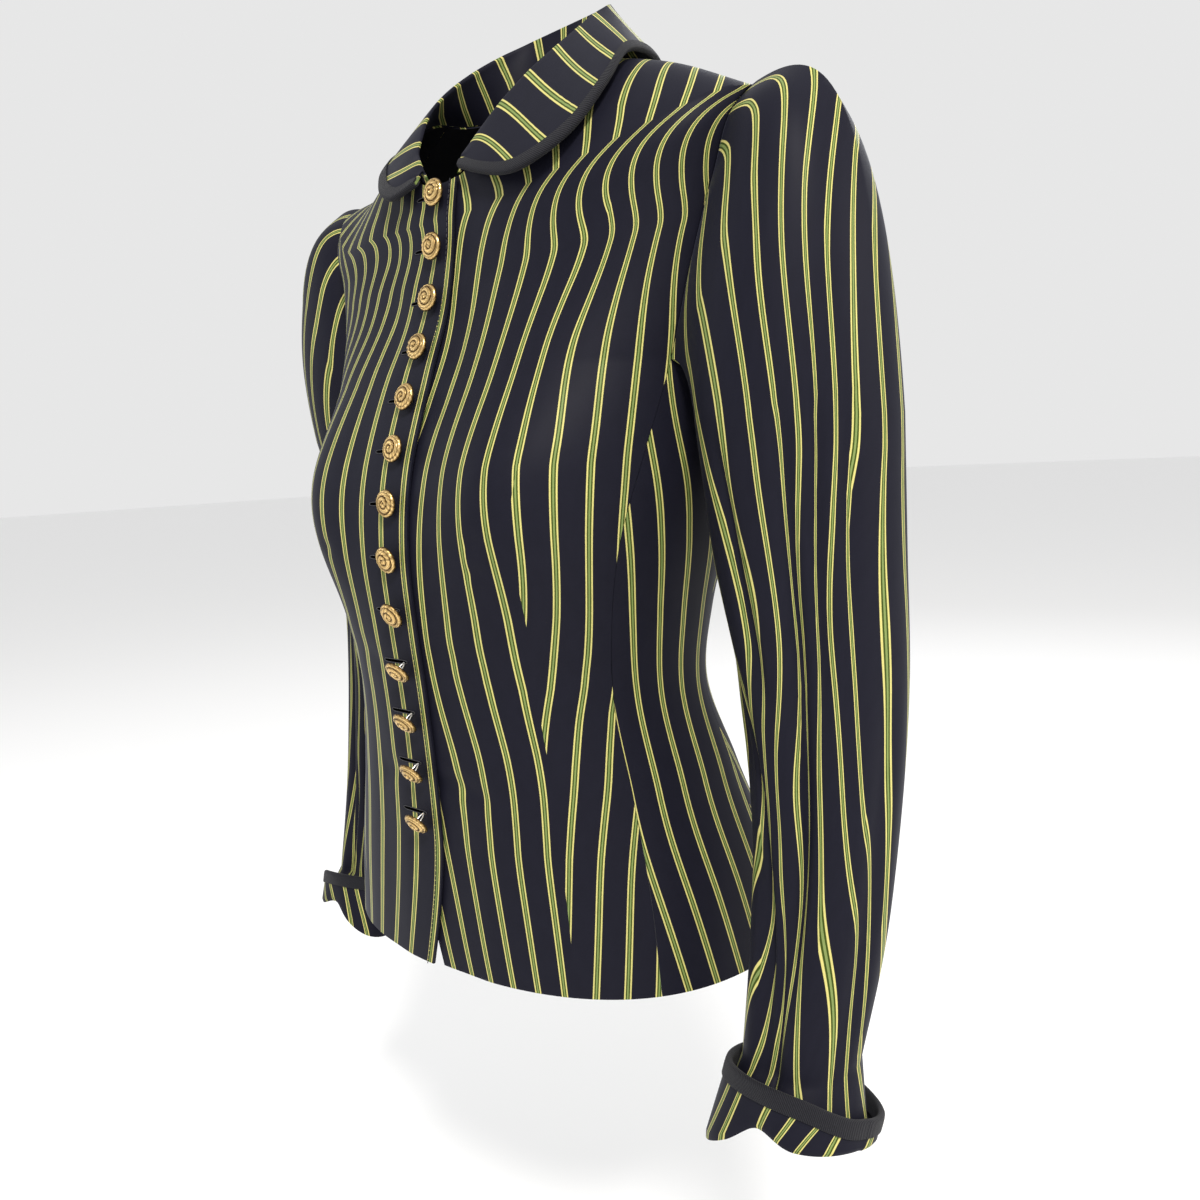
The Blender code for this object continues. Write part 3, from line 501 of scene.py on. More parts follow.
def sleeve_grid(loop):
    """The sleeve, from the armhole over its head and down the arm to the inside of the cuff's fold."""
    around = around_loop(loop)
    table = np.array(list(SLEEVE.values()))
    heights = -table[:, 2]
    head = from_table(HEAD, around)
    leave, turn_down = head[:, :3], head[:, 3:]
    first = sleeve_ring(table[0], around)
    axis = unit(table[0, :3] - table[1, :3])
    grid = []
    for t in np.linspace(0, 1, HEAD_ROWS + 1)[:-1]:
        grid.append(
            (1 - t) ** 3 * loop
            + 3 * (1 - t) ** 2 * t * (loop + leave)
            + 3 * (1 - t) * t**2 * (first + turn_down * axis)
            + t**3 * first
        )
    for height in np.linspace(heights[0], heights[-1], SLEEVE_ROWS + 1):
        values = hermite(heights, table, height)[0]
        grid.append(sleeve_folds(sleeve_ring(values, around), around, values[:3]))
    wrist, end = grid[-1], cuff_grid(around)[0]
    for share in np.linspace(0, 1, LAST_ROWS + 1)[1:]:
        grid.append(wrist + (end - wrist) * share)
    return np.array(grid)


def right_side(points):
    """The left half's points moved to the right half's pose, still on the left side."""
    moved = points.copy()
    share = smoothstep(*RIGHT_SHOULDER["fade"], points[..., 2])
    at = np.clip(np.abs(points[..., 0]), 0, RIGHT_SHOULDER["x"][-1])
    shift = np.array([RIGHT_SHOULDER["lower"], RIGHT_SHOULDER["inward"]]).T
    lower, inward = hermite(RIGHT_SHOULDER["x"], shift, at.ravel()).T
    moved[..., 2] -= share * lower.reshape(at.shape)
    moved[..., 0] -= share * inward.reshape(at.shape)
    return moved


def right_arm(points, share=1.0):
    """The left sleeve's or cuff's points moved to the right arm's pose, still on the left side."""
    table = np.array(RIGHT_ARM)
    moved = points.copy()
    moved[..., 1] += share * np.interp(points[..., 2], table[:, 0], table[:, 1])
    moved[..., 0] -= share * np.interp(points[..., 2], table[:, 0], table[:, 2])
    return moved


# Creases: where the cloth is pulled or pressed. Each is a narrow valley on the cloth, from one
# place to another, given by x and z on a body piece, with its half width and depth. It bows a little,
# and fades in and out over these shares of its length.
CREASE_BOW, CREASE_STARTS, CREASE_ENDS = 0.12, (-0.1, 0.3), (0.7, 1.1)
CREASE_COLUMNS = ("x_from", "z_from", "x_to", "z_to", "half_width", "depth")
FRONT_CREASES = {
    "left": (
        (-0.2, -46.9, 6.2, -47.3, 0.7, 0.16),
        (1.6, -38.2, 7.4, -38.9, 0.9, 0.08),
        (8.4, -39.6, 12.6, -38.9, 0.8, 0.09),
        (9.8, -42.6, 13.0, -41.5, 0.7, 0.07),
        (6.8, -30.9, 8.3, -30.2, 0.5, 0.12),
        (6.5, -32.5, 7.9, -32.2, 0.4, 0.10),
        (3.4, -21.0, 5.6, -12.5, 1.1, 0.12),
        (1.0, -27.0, 3.4, -21.0, 0.9, 0.10),
    ),
    "right": (
        (0.8, -46.2, 5.4, -46.9, 0.8, 0.12),
        (2.4, -38.8, 8.4, -38.3, 0.9, 0.08),
        (8.0, -40.4, 12.4, -39.5, 0.8, 0.09),
        (7.0, -31.2, 8.5, -30.6, 0.5, 0.11),
        (3.0, -20.0, 5.9, -13.0, 1.2, 0.10),
    ),
}


def creased(points, normals, creases):
    """Presses valleys into a piece along lines seen from its front."""
    pressed = points.copy()
    for values in creases:
        fold = dict(zip(CREASE_COLUMNS, values))
        start = np.array([fold["x_from"], fold["z_from"]])
        along = np.array([fold["x_to"], fold["z_to"]]) - start
        length = np.linalg.norm(along)
        along = along / length
        flat = points[..., (0, 2)] - start
        reach = flat @ along
        apart = flat @ np.array([-along[1], along[0]])
        bow = CREASE_BOW * length * np.sin(np.pi * np.clip(reach / length, 0, 1))
        across = np.exp(-(((apart - bow) / fold["half_width"]) ** 2))
        ends = smoothstep(*(share * length for share in CREASE_STARTS), reach)
        ends = ends * (1 - smoothstep(*(share * length for share in CREASE_ENDS), reach))
        pressed -= (fold["depth"] * across * ends)[..., None] * normals
    return pressed


# Sewing: every piece is a shell 1.6 mm thick on its middle surface. Pieces that share a seam share
# its points, so their faces lean to the seam's mean direction and their edges draw back from it.
CLOTH = 0.16
SEAM_GAP = 0.034
STEEPEST = 0.55
SHARP = 50


class Panel:
    """One cut piece: the points of its middle surface, and how far its two faces lie from each."""

    def __init__(self, points, outward=1, ring=False):
        self.points = points
        self.ring = ring
        self.outward = outward
        self.set_out()

    def set_out(self):
        self.normal = self.outward * self.square_to(self.points)
        self.reach = self.normal * CLOTH / 2

    def square_to(self, points):
        """The surface's direction at each point. A ring's last column joins its first."""
        if self.ring:
            wide = np.concatenate([points[:, -1:], points, points[:, :1]], axis=1)
            across = wide[:, 2:] - wide[:, :-2]
        else:
            across = np.gradient(points, axis=1)
        return unit(np.cross(across, np.gradient(points, axis=0)))

    def seam(self, line, inside, gap=SEAM_GAP / 2):
        """Slants the faces to the seam's mean direction and draws the edge back from the seam."""
        mean = self.mean[line]
        slant = np.clip((mean * self.normal[line]).sum(-1, keepdims=True), STEEPEST, 1)
        self.reach[line] = mean * CLOTH / 2 / slant
        edge = self.points[line]
        along = np.gradient(edge, axis=0)
        along = unit(along - mean * (along * mean).sum(-1, keepdims=True))
        inward = self.points[inside] - edge
        for direction in (mean, along):
            inward = inward - direction * (inward * direction).sum(-1, keepdims=True)
        self.points[line] = edge + unit(inward) * gap

    def mirror(self):
        self.points = self.points * (-1, 1, 1)
        self.reach = self.reach * (-1, 1, 1)


def sew(panels):
    """Gives each panel the mean direction of all the surfaces that share each of its points."""
    total = {}
    for panel in panels:
        for point, normal in zip(panel.points.reshape(-1, 3), panel.normal.reshape(-1, 3)):
            key = tuple(np.round(point, 4))
            total[key] = total.get(key, 0) + normal
    for panel in panels:
        keys = [tuple(np.round(point, 4)) for point in panel.points.reshape(-1, 3)]
        panel.mean = unit(np.array([total[key] for key in keys])).reshape(panel.points.shape)


def body_half(right):
    """The front, side, back, sleeve and cuff of one side, made on the wearer's left."""
    pose = right_side if right else np.copy
    front = Panel(pose(front_grid(1 if right else -1)))
    side = Panel(pose(side_grid()))
    back = Panel(pose(back_grid()), outward=-1)
    loop = armhole(front_grid(), side_grid(), back_grid())
    arm, cuff = sleeve_grid(loop), cuff_grid(around_loop(loop))
    if right:
        share = np.minimum(np.arange(len(arm)) / HEAD_ROWS, 1)[:, None]
        arm, cuff = right_side(right_arm(arm, share)), right_arm(cuff)
    sleeve = Panel(arm, ring=True)
    cuff = Panel(cuff, ring=True)
    front.points = creased(front.points, front.normal, FRONT_CREASES["right" if right else "left"])
    front.set_out()

    sew((front, side, back, sleeve, cuff))
    back.mean[:, 0, 0] = 0
    rows = slice(None)
    front.seam((rows, -1), (rows, -2))
    back.seam((rows, -1), (rows, -2))
    back.seam((rows, 0), (rows, 1))
    side.seam((rows, 0), (rows, 1))
    side.seam((rows, -1), (rows, -2))
    side.seam((-1,), (-2,))
    sleeve.seam((0,), (1,), SEAM_GAP)
    sleeve.seam((-1,), (-2,), SEAM_GAP)
    cuff.seam((0,), (1,))
    names = ("front", "side", "back", "sleeve", "cuff")
    return dict(zip(names, (front, side, back, sleeve, cuff)))


def steps_along(points, axis):
    """Lengths along the grid's rows, axis 1, or columns, axis 0, from their first point."""
    step = np.linalg.norm(np.diff(points, axis=axis), axis=-1)
    start = np.zeros_like(np.take(step, [0], axis=axis))
    return np.concatenate([start, np.cumsum(step, axis=axis)], axis=axis)


def cloth_mesh(name, panel, across, across_end, materials):
    """A closed shell. across is the stripe number at each point, and across_end the number that a
    point has as the far corner of a face, which differs only where stripes are cut at a dart."""
    rows, columns = panel.points.shape[:2]
    count = rows * columns
    points = np.concatenate([
        (panel.points + panel.reach).reshape(-1, 3), (panel.points - panel.reach).reshape(-1, 3),
    ]) * CM
    along = steps_along(panel.points, 0)
    last = columns if panel.ring else columns - 1
    faces, corners = [], []
    for r in range(rows - 1):
        for c in range(last):
            d = (c + 1) % columns
            quad = (r * columns + c, r * columns + d, (r + 1) * columns + d, (r + 1) * columns + c)
            places = (
                (across[r, c], along[r, c]), (across_end[r, d], along[r, d]),
                (across_end[r + 1, d], along[r + 1, d]), (across[r + 1, c], along[r + 1, c]),
            )
            faces.append(quad)
            corners.append(places)
            faces.append(tuple(count + k for k in quad[::-1]))
            corners.append(places[::-1])
    edges = [((r, c), (r, (c + 1) % columns)) for r in (0, rows - 1) for c in range(last)]
    if not panel.ring:
        edges += [((r, c), (r + 1, c)) for c in (0, columns - 1) for r in range(rows - 1)]
    for (r, c), (s, d) in edges:
        a, b = r * columns + c, s * columns + d
        faces.append((a, b, count + b, count + a))
        here, there = (across[r, c], along[r, c]), (across_end[s, d], along[s, d])
        corners.append((here, there, there, here))
    mesh = bpy.data.meshes.new(name)
    mesh.from_pydata(points.tolist(), [], faces)
    cloth_map = mesh.uv_layers.new(name="cloth")
    cloth_map.data.foreach_set("uv", np.array(corners, np.float32).ravel())
    inner = np.zeros(len(faces), np.int32)
    inner[1 : 2 * (rows - 1) * last : 2] = 1
    for material in materials:
        mesh.materials.append(material)
    mesh.polygons.foreach_set("material_index", inner)
    out_first = Vector((panel.reach[rows // 2, columns // 2]).tolist())
    face = mesh.polygons[2 * ((rows // 2) * last + min(columns // 2, last - 1))]
    if face.normal.dot(out_first) < 0:
        mesh.flip_normals()
    return finished(name, mesh)


def turn_out(mesh):
    """Turns all faces of a closed mesh outwards."""
    shape = bmesh.new()
    shape.from_mesh(mesh)
    bmesh.ops.recalc_face_normals(shape, faces=shape.faces)
    shape.to_mesh(mesh)
    shape.free()


def finished(name, mesh):
    """The piece of cloth that this mesh makes, smooth but for its edges."""
    turn_out(mesh)
    mesh.shade_smooth()
    mesh.set_sharp_from_angle(angle=np.radians(SHARP))
    return linked(name, mesh)


# The cloth: a black satin with a fine cross rib, woven with groups of pale gold, olive and green
# stripes, 5 mm wide and 20.5 mm apart. Its reverse is plain black.
STRIPE_REPEAT = 2.05
STRIPE_BANDS = (
    # how far from the stripe's middle the colour starts, and the colour
    (0.000, (0.180, 0.235, 0.075, 1.0)),
    (0.045, (0.180, 0.235, 0.075, 1.0)),
    (0.060, (0.036, 0.060, 0.008, 1.0)),
    (0.125, (0.036, 0.060, 0.008, 1.0)),
    (0.150, (0.530, 0.480, 0.165, 1.0)),
    (0.225, (0.530, 0.480, 0.165, 1.0)),
    (0.245, (0.0085, 0.0085, 0.0150, 1.0)),
)
STRIPE_SPAN = 0.5
WOBBLE = {"across": 6.0, "along": 9.0, "reach": 0.012}
CLOUDS = {"across": 1.3, "along": 0.8, "share": 0.25}
THREADS = {"across": 60.0, "along": 34.0, "detail": 3.0, "share": 0.9, "darkest": 0.42}
RIB = {"turns": 22.0 * 6.283, "height": 0.25, "bump": 0.10, "distance": 0.00012}
SATIN_ROUGHNESS = {"ground": 0.46, "stripe": 0.12, "thread": 0.10}
REVERSE_THREADS = {"across": 40.0, "along": 30.0, "detail": 3.0, "bump": 0.15, "distance": 0.0002}
REVERSE_COLOURS = (0.004, 0.004, 0.005, 1.0), (0.010, 0.010, 0.013, 1.0)
REVERSE_ROUGHNESS = {"least": 0.45, "thread": 0.2}


class Value:
    """A number in a material's nodes: sums on it add Math nodes."""

    def __init__(self, maker, socket):
        self.maker, self.socket = maker, socket

    def math(self, operation, *others):
        node = self.maker.node("ShaderNodeMath", {"operation": operation}, [self, *others])
        return Value(self.maker, node.outputs[0])

    def __add__(self, other):
        return self.math("ADD", other)

    def __sub__(self, other):
        return self.math("SUBTRACT", other)

    def __mul__(self, other):
        return self.math("MULTIPLY", other)

    def __truediv__(self, other):
        return self.math("DIVIDE", other)

    def __rsub__(self, other):
        return self * -1 + other

    __radd__, __rmul__ = __add__, __mul__


class Maker:
    """One material, and the one way in which its nodes are made."""

    def __init__(self, name, **plain):
        self.material = bpy.data.materials.new(name)
        self.material.use_nodes = True
        self.tree = self.material.node_tree
        self.surface = self.tree.nodes["Principled BSDF"]
        for socket, value in plain.items():
            self.surface.inputs[socket.replace("_", " ")].default_value = value

    def node(self, kind, settings, sockets):
        made = self.tree.nodes.new(kind)
        for name, value in settings.items():
            if name == "stops":
                self.set_stops(made.color_ramp, value)
            else:
                setattr(made, name, value)
        items = sockets.items() if isinstance(sockets, dict) else enumerate(sockets)
        for name, value in items:
            self.join(made.inputs[name], value)
        return made

    def join(self, socket, value):
        if isinstance(value, Value):
            self.tree.links.new(value.socket, socket)
        elif isinstance(value, bpy.types.NodeSocket):
            self.tree.links.new(value, socket)
        else:
            socket.default_value = value

    def set_stops(self, ramp, stops):
        for place, colour in stops[len(ramp.elements) :]:
            ramp.elements.new(place)
        for element, (place, colour) in zip(ramp.elements, stops):
            element.position, element.color = place, colour

    def uv(self, name):
        found = self.node("ShaderNodeUVMap", {"uv_map": name}, {})
        parts = self.node("ShaderNodeSeparateXYZ", {}, [found.outputs[0]])
        return Value(self, parts.outputs[0]), Value(self, parts.outputs[1])

    def noise(self, x, y, detail=2.0):
        """Noise on two numbers, from 0 to 1."""
        place = self.node("ShaderNodeCombineXYZ", {}, [x, y, 0.0])
        made = self.node("ShaderNodeTexNoise", {}, {
            "Vector": place.outputs[0], "Scale": 1.0, "Detail": detail,
        })
        return Value(self, made.outputs[0])

    def speckle(self, scale, detail=2.0):
        """Noise on the piece's own place, from 0 to 1."""
        place = self.node("ShaderNodeTexCoord", {}, {})
        made = self.node("ShaderNodeTexNoise", {}, {
            "Vector": place.outputs["Object"], "Scale": scale, "Detail": detail,
        })
        return Value(self, made.outputs[0])

    def mix(self, factor, first, second):
        made = self.node("ShaderNodeMix", {"data_type": "RGBA"}, {0: factor, 6: first, 7: second})
        return made.outputs[2]

    def bump(self, height, strength, distance):
        made = self.node("ShaderNodeBump", {}, {
            "Strength": strength, "Distance": distance, "Height": height,
        })
        self.join(self.surface.inputs["Normal"], made.outputs[0])

    def colour(self, value):
        self.join(self.surface.inputs["Base Color"], value)

    def roughness(self, value):
        self.join(self.surface.inputs["Roughness"], value)


def striped_satin():
    satin = Maker(
        "striped_satin", Specular_IOR_Level=0.07, Sheen_Weight=0.03, Sheen_Roughness=0.35,
        Sheen_Tint=(0.6, 0.65, 0.9, 1.0),
    )
    number, along = satin.uv("cloth")
    across = number * STRIPE_REPEAT
    wobble = satin.noise(across * WOBBLE["across"], along * WOBBLE["along"]) - 0.5
    nearest = ((number + 0.5).math("FRACT") - 0.5).math("ABSOLUTE")
    apart = nearest * STRIPE_REPEAT + wobble * WOBBLE["reach"]
    threads = satin.noise(across * THREADS["across"], along * THREADS["along"], THREADS["detail"])
    cloudy = satin.noise(across * CLOUDS["across"], along * CLOUDS["along"])
    bands = satin.node("ShaderNodeValToRGB", {
        "stops": [(place / STRIPE_SPAN, colour) for place, colour in STRIPE_BANDS],
    }, [apart / STRIPE_SPAN])
    light = threads * THREADS["share"] + cloudy * CLOUDS["share"] + THREADS["darkest"]
    tint = satin.node("ShaderNodeVectorMath", {"operation": "SCALE"}, {
        0: bands.outputs[0], "Scale": light,
    })
    satin.colour(tint.outputs[0])
    striped = (STRIPE_BANDS[-1][0] - apart).math("GREATER_THAN", 0.0)
    ground, stripe, thread = SATIN_ROUGHNESS.values()
    satin.roughness(ground - striped * stripe + threads * thread)
    ribs = (along * RIB["turns"]).math("SINE") * RIB["height"]
    satin.bump(threads + ribs, RIB["bump"], RIB["distance"])
    return satin.material


def reverse_satin():
    plain = Maker("satin_reverse", Specular_IOR_Level=0.15)
    number, along = plain.uv("cloth")
    fine = REVERSE_THREADS
    across = number * STRIPE_REPEAT * fine["across"]
    threads = plain.noise(across, along * fine["along"], fine["detail"])
    plain.colour(plain.mix(threads, *REVERSE_COLOURS))
    plain.roughness(threads * REVERSE_ROUGHNESS["thread"] + REVERSE_ROUGHNESS["least"])
    plain.bump(threads, fine["bump"], fine["distance"])
    return plain.material


SATIN, REVERSE = striped_satin(), reverse_satin()
HALVES = {"left": body_half(False), "right": body_half(True)}


def dress(made, node):
    """Puts a made piece of cloth in its node's place, and hides the model's own part for that node."""
    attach(made, "root")
    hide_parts(node)


def placed(hand, kind):
    """The piece's panel on its own side."""
    panel = HALVES[hand][kind]
    if hand == "right":
        panel.mirror()
    return panel


# The fronts: cut on the straight grain, with one dart from the bust to the hem that takes out three
# stripes. The right front laps over the left one. Each row gives a height, and which stripe lies at
# the edge, at NEAR of the way to the dart, on the dart's two sides and at the side-front seam. Between
# them the stripes are evenly spaced.
NEAR = 0.45
FRONT_STRIPES = {
    "left": (
        (-59.3, -1.55, 1.20, 4.40, 7.35, 10.10),
        (-52.0, -1.50, 1.20, 4.45, 6.85, 9.55),
        (-45.0, -0.75, 1.20, 4.30, 6.25, 8.55),
        (-38.0, -0.70, 1.75, 4.45, 5.40, 7.75),
        (-31.0, -0.65, 1.60, 4.60, 4.75, 7.95),
        (-25.0, -1.15, 1.60, 5.15, 5.15, 8.55),
        (-19.0, -2.00, 1.50, 5.90, 5.90, 9.15),
        (-14.0, -1.60, 1.65, 5.45, 5.45, 9.80),
        (-9.7, -1.35, 1.35, 6.10, 6.10, 9.25),
        (-7.4, -1.50, 0.70, 2.10, 2.10, 2.90),
    ),
    "right": (
        (-59.3, -0.20, 2.00, 4.60, 7.35, 10.10),
        (-52.0, -0.20, 2.20, 4.60, 6.85, 9.55),
        (-45.0, -0.25, 2.35, 4.60, 6.25, 8.55),
        (-38.0, -0.25, 2.30, 4.60, 5.40, 7.75),
        (-31.0, -0.25, 2.25, 5.20, 5.40, 8.20),
        (-25.0, -0.25, 2.40, 5.60, 5.60, 8.75),
        (-19.0, -0.25, 2.70, 6.50, 6.50, 9.60),
        (-14.0, -0.25, 3.70, 8.70, 8.70, 11.80),
        (-9.7, -0.20, 5.00, 9.60, 9.60, 12.60),
        (-7.4, -0.20, 2.90, 6.20, 6.20, 7.60),
    ),
}


def front_stripes(points, before, table):
    """Stripe numbers of a front's points, and those of the points as a face's far corner."""
    edge, near, dart_before, dart_after, seam = from_table(table, points[:, 0, 2]).T
    arc = steps_along(points, 1)
    to_dart, past = arc[:, : before + 1], arc[:, before:]
    start, end = np.empty_like(arc), np.empty_like(arc)
    for k in range(len(arc)):
        stops = to_dart[k, -1] * np.array([0, NEAR, 1])
        end[k, : before + 1] = np.interp(to_dart[k], stops, (edge[k], near[k], dart_before[k]))
        start[k, before:] = np.interp(past[k], past[k, [0, -1]], (dart_after[k], seam[k]))
    start[:, :before] = end[:, :before]
    end[:, before + 1 :] = start[:, before + 1 :]
    return start, end


for hand in ("left", "right"):
    panel = placed(hand, "front")
    start, end = front_stripes(panel.points, DART_SPLIT[0], FRONT_STRIPES[hand])
    made = cloth_mesh(f"{hand}_front_cloth", panel, start, end, (SATIN, REVERSE))
    dress(made, f"front_{hand}")

# The side panels: narrow pieces of the satin under the arms, sewn to the front and the back. Their
# stripes run out at the seams.
SIDE_STRIPES = (
    # z, stripe at the front seam, stripe at the back seam
    (-59.3, -0.85, 5.10), (-50.0, 0.00, 5.25), (-40.0, 0.15, 4.65), (-30.0, 0.85, 5.15),
    (-20.0, 3.15, 7.45),
)
for hand in ("left", "right"):
    panel = placed(hand, "side")
    share = steps_along(panel.points, 1)
    share = share / share[:, -1:]
    first, last = from_table(SIDE_STRIPES, panel.points[:, 0, 2]).T[:, :, None]
    number = first + (last - first) * share
    made = cloth_mesh(f"{hand}_side_cloth", panel, number, number, (SATIN, REVERSE))
    dress(made, f"side_{hand}")

# The backs: two pieces of the satin joined by a seam down the middle, which lies half-way between two
# stripes.
BACK_FLAT, BACK_AREA, HALF_WAY = (0.26, 0.62), 0.12, 0.5
for hand in ("left", "right"):
    panel = placed(hand, "back")
    number = steps_along(panel.points, 1) / STRIPE_REPEAT + HALF_WAY
    made = cloth_mesh(f"{hand}_back_cloth", panel, number, number, (SATIN, REVERSE))
    dress(made, f"back_{hand}")

# The sleeves: cut wider than the arm, so their stripes bend where the cloth folds. The seam is under
# the arm. Each row says which stripe lies at each turn round the arm, from behind it to the front.
SLEEVE_TURNS = (-60.0, 0.0, 30.0, 60.0, 90.0, 120.0, 180.0)
SLEEVE_STRIPES = (
    # mean height of the ring, and the stripes
    (-13.6, -1.4, 3.5, 5.0, 5.9, 6.7, 7.6, 9.6),
    (-17.7, -2.3, 0.8, 2.6, 4.8, 6.6, 7.6, 9.8),
    (-26.5, -2.8, -0.3, 1.3, 4.3, 6.6, 7.9, 10.0),
    (-36.3, -2.8, -0.3, 0.5, 3.5, 6.8, 8.6, 10.9),
    (-45.5, -2.3, -0.1, 0.8, 3.1, 5.3, 9.0, 10.9),
    (-54.7, -1.4, 0.3, 2.4, 3.4, 5.9, 7.9, 9.4),
    (-64.2, -0.2, 1.9, 3.3, 4.4, 5.4, 6.6, 9.0),
)
UNDER_ARM = PANEL_ROWS[1][1] + SIDE_COLUMNS // 2
TUCK = {"stripes": 0.62, "pinch": 0.5, "spread": 3.0, "narrow": 6.0}
SEAM_LEAN = {"stripes": 1.3, "rows": 16, "power": 1.5}


def tucked(number, points, around):
    """Crowds the stripes into each fold of the sleeve, where the cloth turns out of sight."""
    moved = number.copy()
    for fold, apart, along in each_fold(points, around):
        apart = apart / fold["half_width"]
        pull = np.tanh(apart / TUCK["pinch"]) * np.exp(-((apart / TUCK["spread"]) ** 2))
        narrow = min(1.0, TUCK["narrow"] / fold["half_width"])
        moved += TUCK["stripes"] * fold["depth"] * narrow * along * pull
    return moved


def ring_stripes(points, around, turns, stripes):
    """Stripe numbers round each ring, between the turns that stripes is given at. Behind the first
    turn they are evenly spaced as far as the seam under the arm, where the numbers are cut. Also the
    numbers that the points have as a face's far corner."""
    wide = np.concatenate([points, points[:, :1]], axis=1)
    lengths = steps_along(wide, 1) / STRIPE_REPEAT
    signed = np.where(np.arange(len(around)) > UNDER_ARM, around - 360, around)
    start = np.empty(points.shape[:2])
    for k, values in enumerate(stripes):
        behind = lengths[k, -1] - lengths[k, :-1]
        at_first = np.interp(360 + turns[0], around, behind)
        even = values[0] + at_first - behind
        start[k] = np.where(signed < turns[0], even, np.interp(signed, turns, values))
    start = tucked(start, points, around)
    from_seam = np.clip(1 - np.arange(len(points)) / SEAM_LEAN["rows"], 0, 1)[:, None]
    start += SEAM_LEAN["stripes"] * from_seam ** SEAM_LEAN["power"] * np.sin(np.radians(around))
    end = start.copy()
    step = lengths[:, UNDER_ARM + 1] - lengths[:, UNDER_ARM]
    end[:, UNDER_ARM + 1] = start[:, UNDER_ARM] + step
    return start, end


AROUND = around_loop(armhole(front_grid(), side_grid(), back_grid()))
for hand in ("left", "right"):
    panel = placed(hand, "sleeve")
    table = np.array(SLEEVE_STRIPES)[::-1]
    heights = panel.points[..., 2].mean(axis=1)
    stripes = from_table(table, np.clip(heights, table[0, 0], table[-1, 0]))
    start, end = ring_stripes(panel.points, AROUND, SLEEVE_TURNS, stripes)
    made = cloth_mesh(f"{hand}_sleeve_cloth", panel, start, end, (SATIN, REVERSE))
    dress(made, f"sleeve_{hand}")

# The cuffs: the sleeve's end, turned back over itself and bound with tape. Their stripes lean: each
# is given by the turn at which it crosses the fold and the cuff's top.
CUFF_STRIPES = (
    # stripe, turn at the fold, turn at the top
    (-5, -180.0, -190.0), (-2, -95.0, -105.0), (0, -38.0, -46.0), (1, -8.0, -14.0), (2, 31.0, 22.0),
    (3, 55.0, 34.0), (4, 72.0, 55.0), (5, 89.0, 76.0), (6, 127.0, 106.0), (7, 143.0, 122.0),
    (8, 165.0, 150.0), (9, 190.0, 185.0),
)
CUFF_SEAM_STEP = 0.2
for hand in ("left", "right"):
    panel = placed(hand, "cuff")
    order, fold_turns, top_turns = np.array(CUFF_STRIPES).T
    signed = np.where(np.arange(len(AROUND)) > UNDER_ARM, AROUND - 360, AROUND)
    share = np.linspace(-1 / CUFF_ROWS, 1, CUFF_ROWS + 1)[:, None]
    start = np.array([
        np.interp(signed, fold_turns + (top_turns - fold_turns) * s, order) for s in share[:, 0]
    ])
    end = start.copy()
    end[:, UNDER_ARM + 1] = start[:, UNDER_ARM] + CUFF_SEAM_STEP
    made = cloth_mesh(f"{hand}_cuff_cloth", panel, start, end, (REVERSE, SATIN))
    dress(made, f"cuff_{hand}")

# The tape: black ribbed twill, 9 mm deep on each face, folded over the cuffs' and the collar's edges.
TAPE_DEPTH = 0.9
TAPE_SECTION = (
    # out from the cloth, share of the way down it, and past its edge
    (0.13, 1.00, 0.00), (0.20, 0.97, 0.00), (0.22, 0.50, 0.00), (0.22, 0.12, 0.00),
    (0.20, 0.00, -0.06), (0.13, 0.00, -0.14), (0.00, 0.00, -0.17), (-0.13, 0.00, -0.14),
    (-0.20, 0.00, -0.06), (-0.22, 0.12, 0.00), (-0.22, 0.50, 0.00), (-0.20, 0.97, 0.00),
    (-0.13, 1.00, 0.00), (-0.11, 0.50, 0.00), (-0.11, 0.02, 0.00), (-0.05, 0.00, -0.06),
    (0.05, 0.00, -0.06), (0.11, 0.02, 0.00), (0.11, 0.50, 0.00),
)
TAPE_CLOSING = 0.2
CUFF_TAPE = {"towards": 1, "most": 0.6}
COLLAR_TAPE = {"towards": -8, "most": 0.9}
# TAPE_RIB's share is how much painted shade the ribs put into the tape's colour.
TAPE_RIB = {"along": 46.0, "around": 30.0, "share": 0.7, "bump": 0.7, "distance": 0.0004}
TAPE_THREADS = {"scale": 60.0, "share": 0.3, "height": 0.4}
TAPE_COLOURS = (0.003, 0.003, 0.004, 1.0), (0.020, 0.020, 0.026, 1.0)
TAPE_ROUGHNESS = {"least": 0.55, "thread": 0.25}


def ribbed_tape():
    tape = Maker("ribbed_tape", Specular_IOR_Level=0.12, Sheen_Weight=0.05, Sheen_Roughness=0.5)
    around, along = tape.uv("cloth")
    slant = along * TAPE_RIB["along"] + around * TAPE_RIB["around"]
    rib = slant.math("SINE") * 0.5 + 0.5
    threads = tape.noise(along * TAPE_THREADS["scale"], around * TAPE_THREADS["scale"])
    # Painted shade on the ribs: lighter on their crests, darker in their hollows, with random thread
    # tone.
    light = rib * TAPE_RIB["share"] + threads * TAPE_THREADS["share"]
    tape.colour(tape.mix(light, *TAPE_COLOURS))
    tape.roughness(threads * TAPE_ROUGHNESS["thread"] + TAPE_ROUGHNESS["least"])
    tape.bump(rib + threads * TAPE_THREADS["height"], TAPE_RIB["bump"], TAPE_RIB["distance"])
    return tape.material


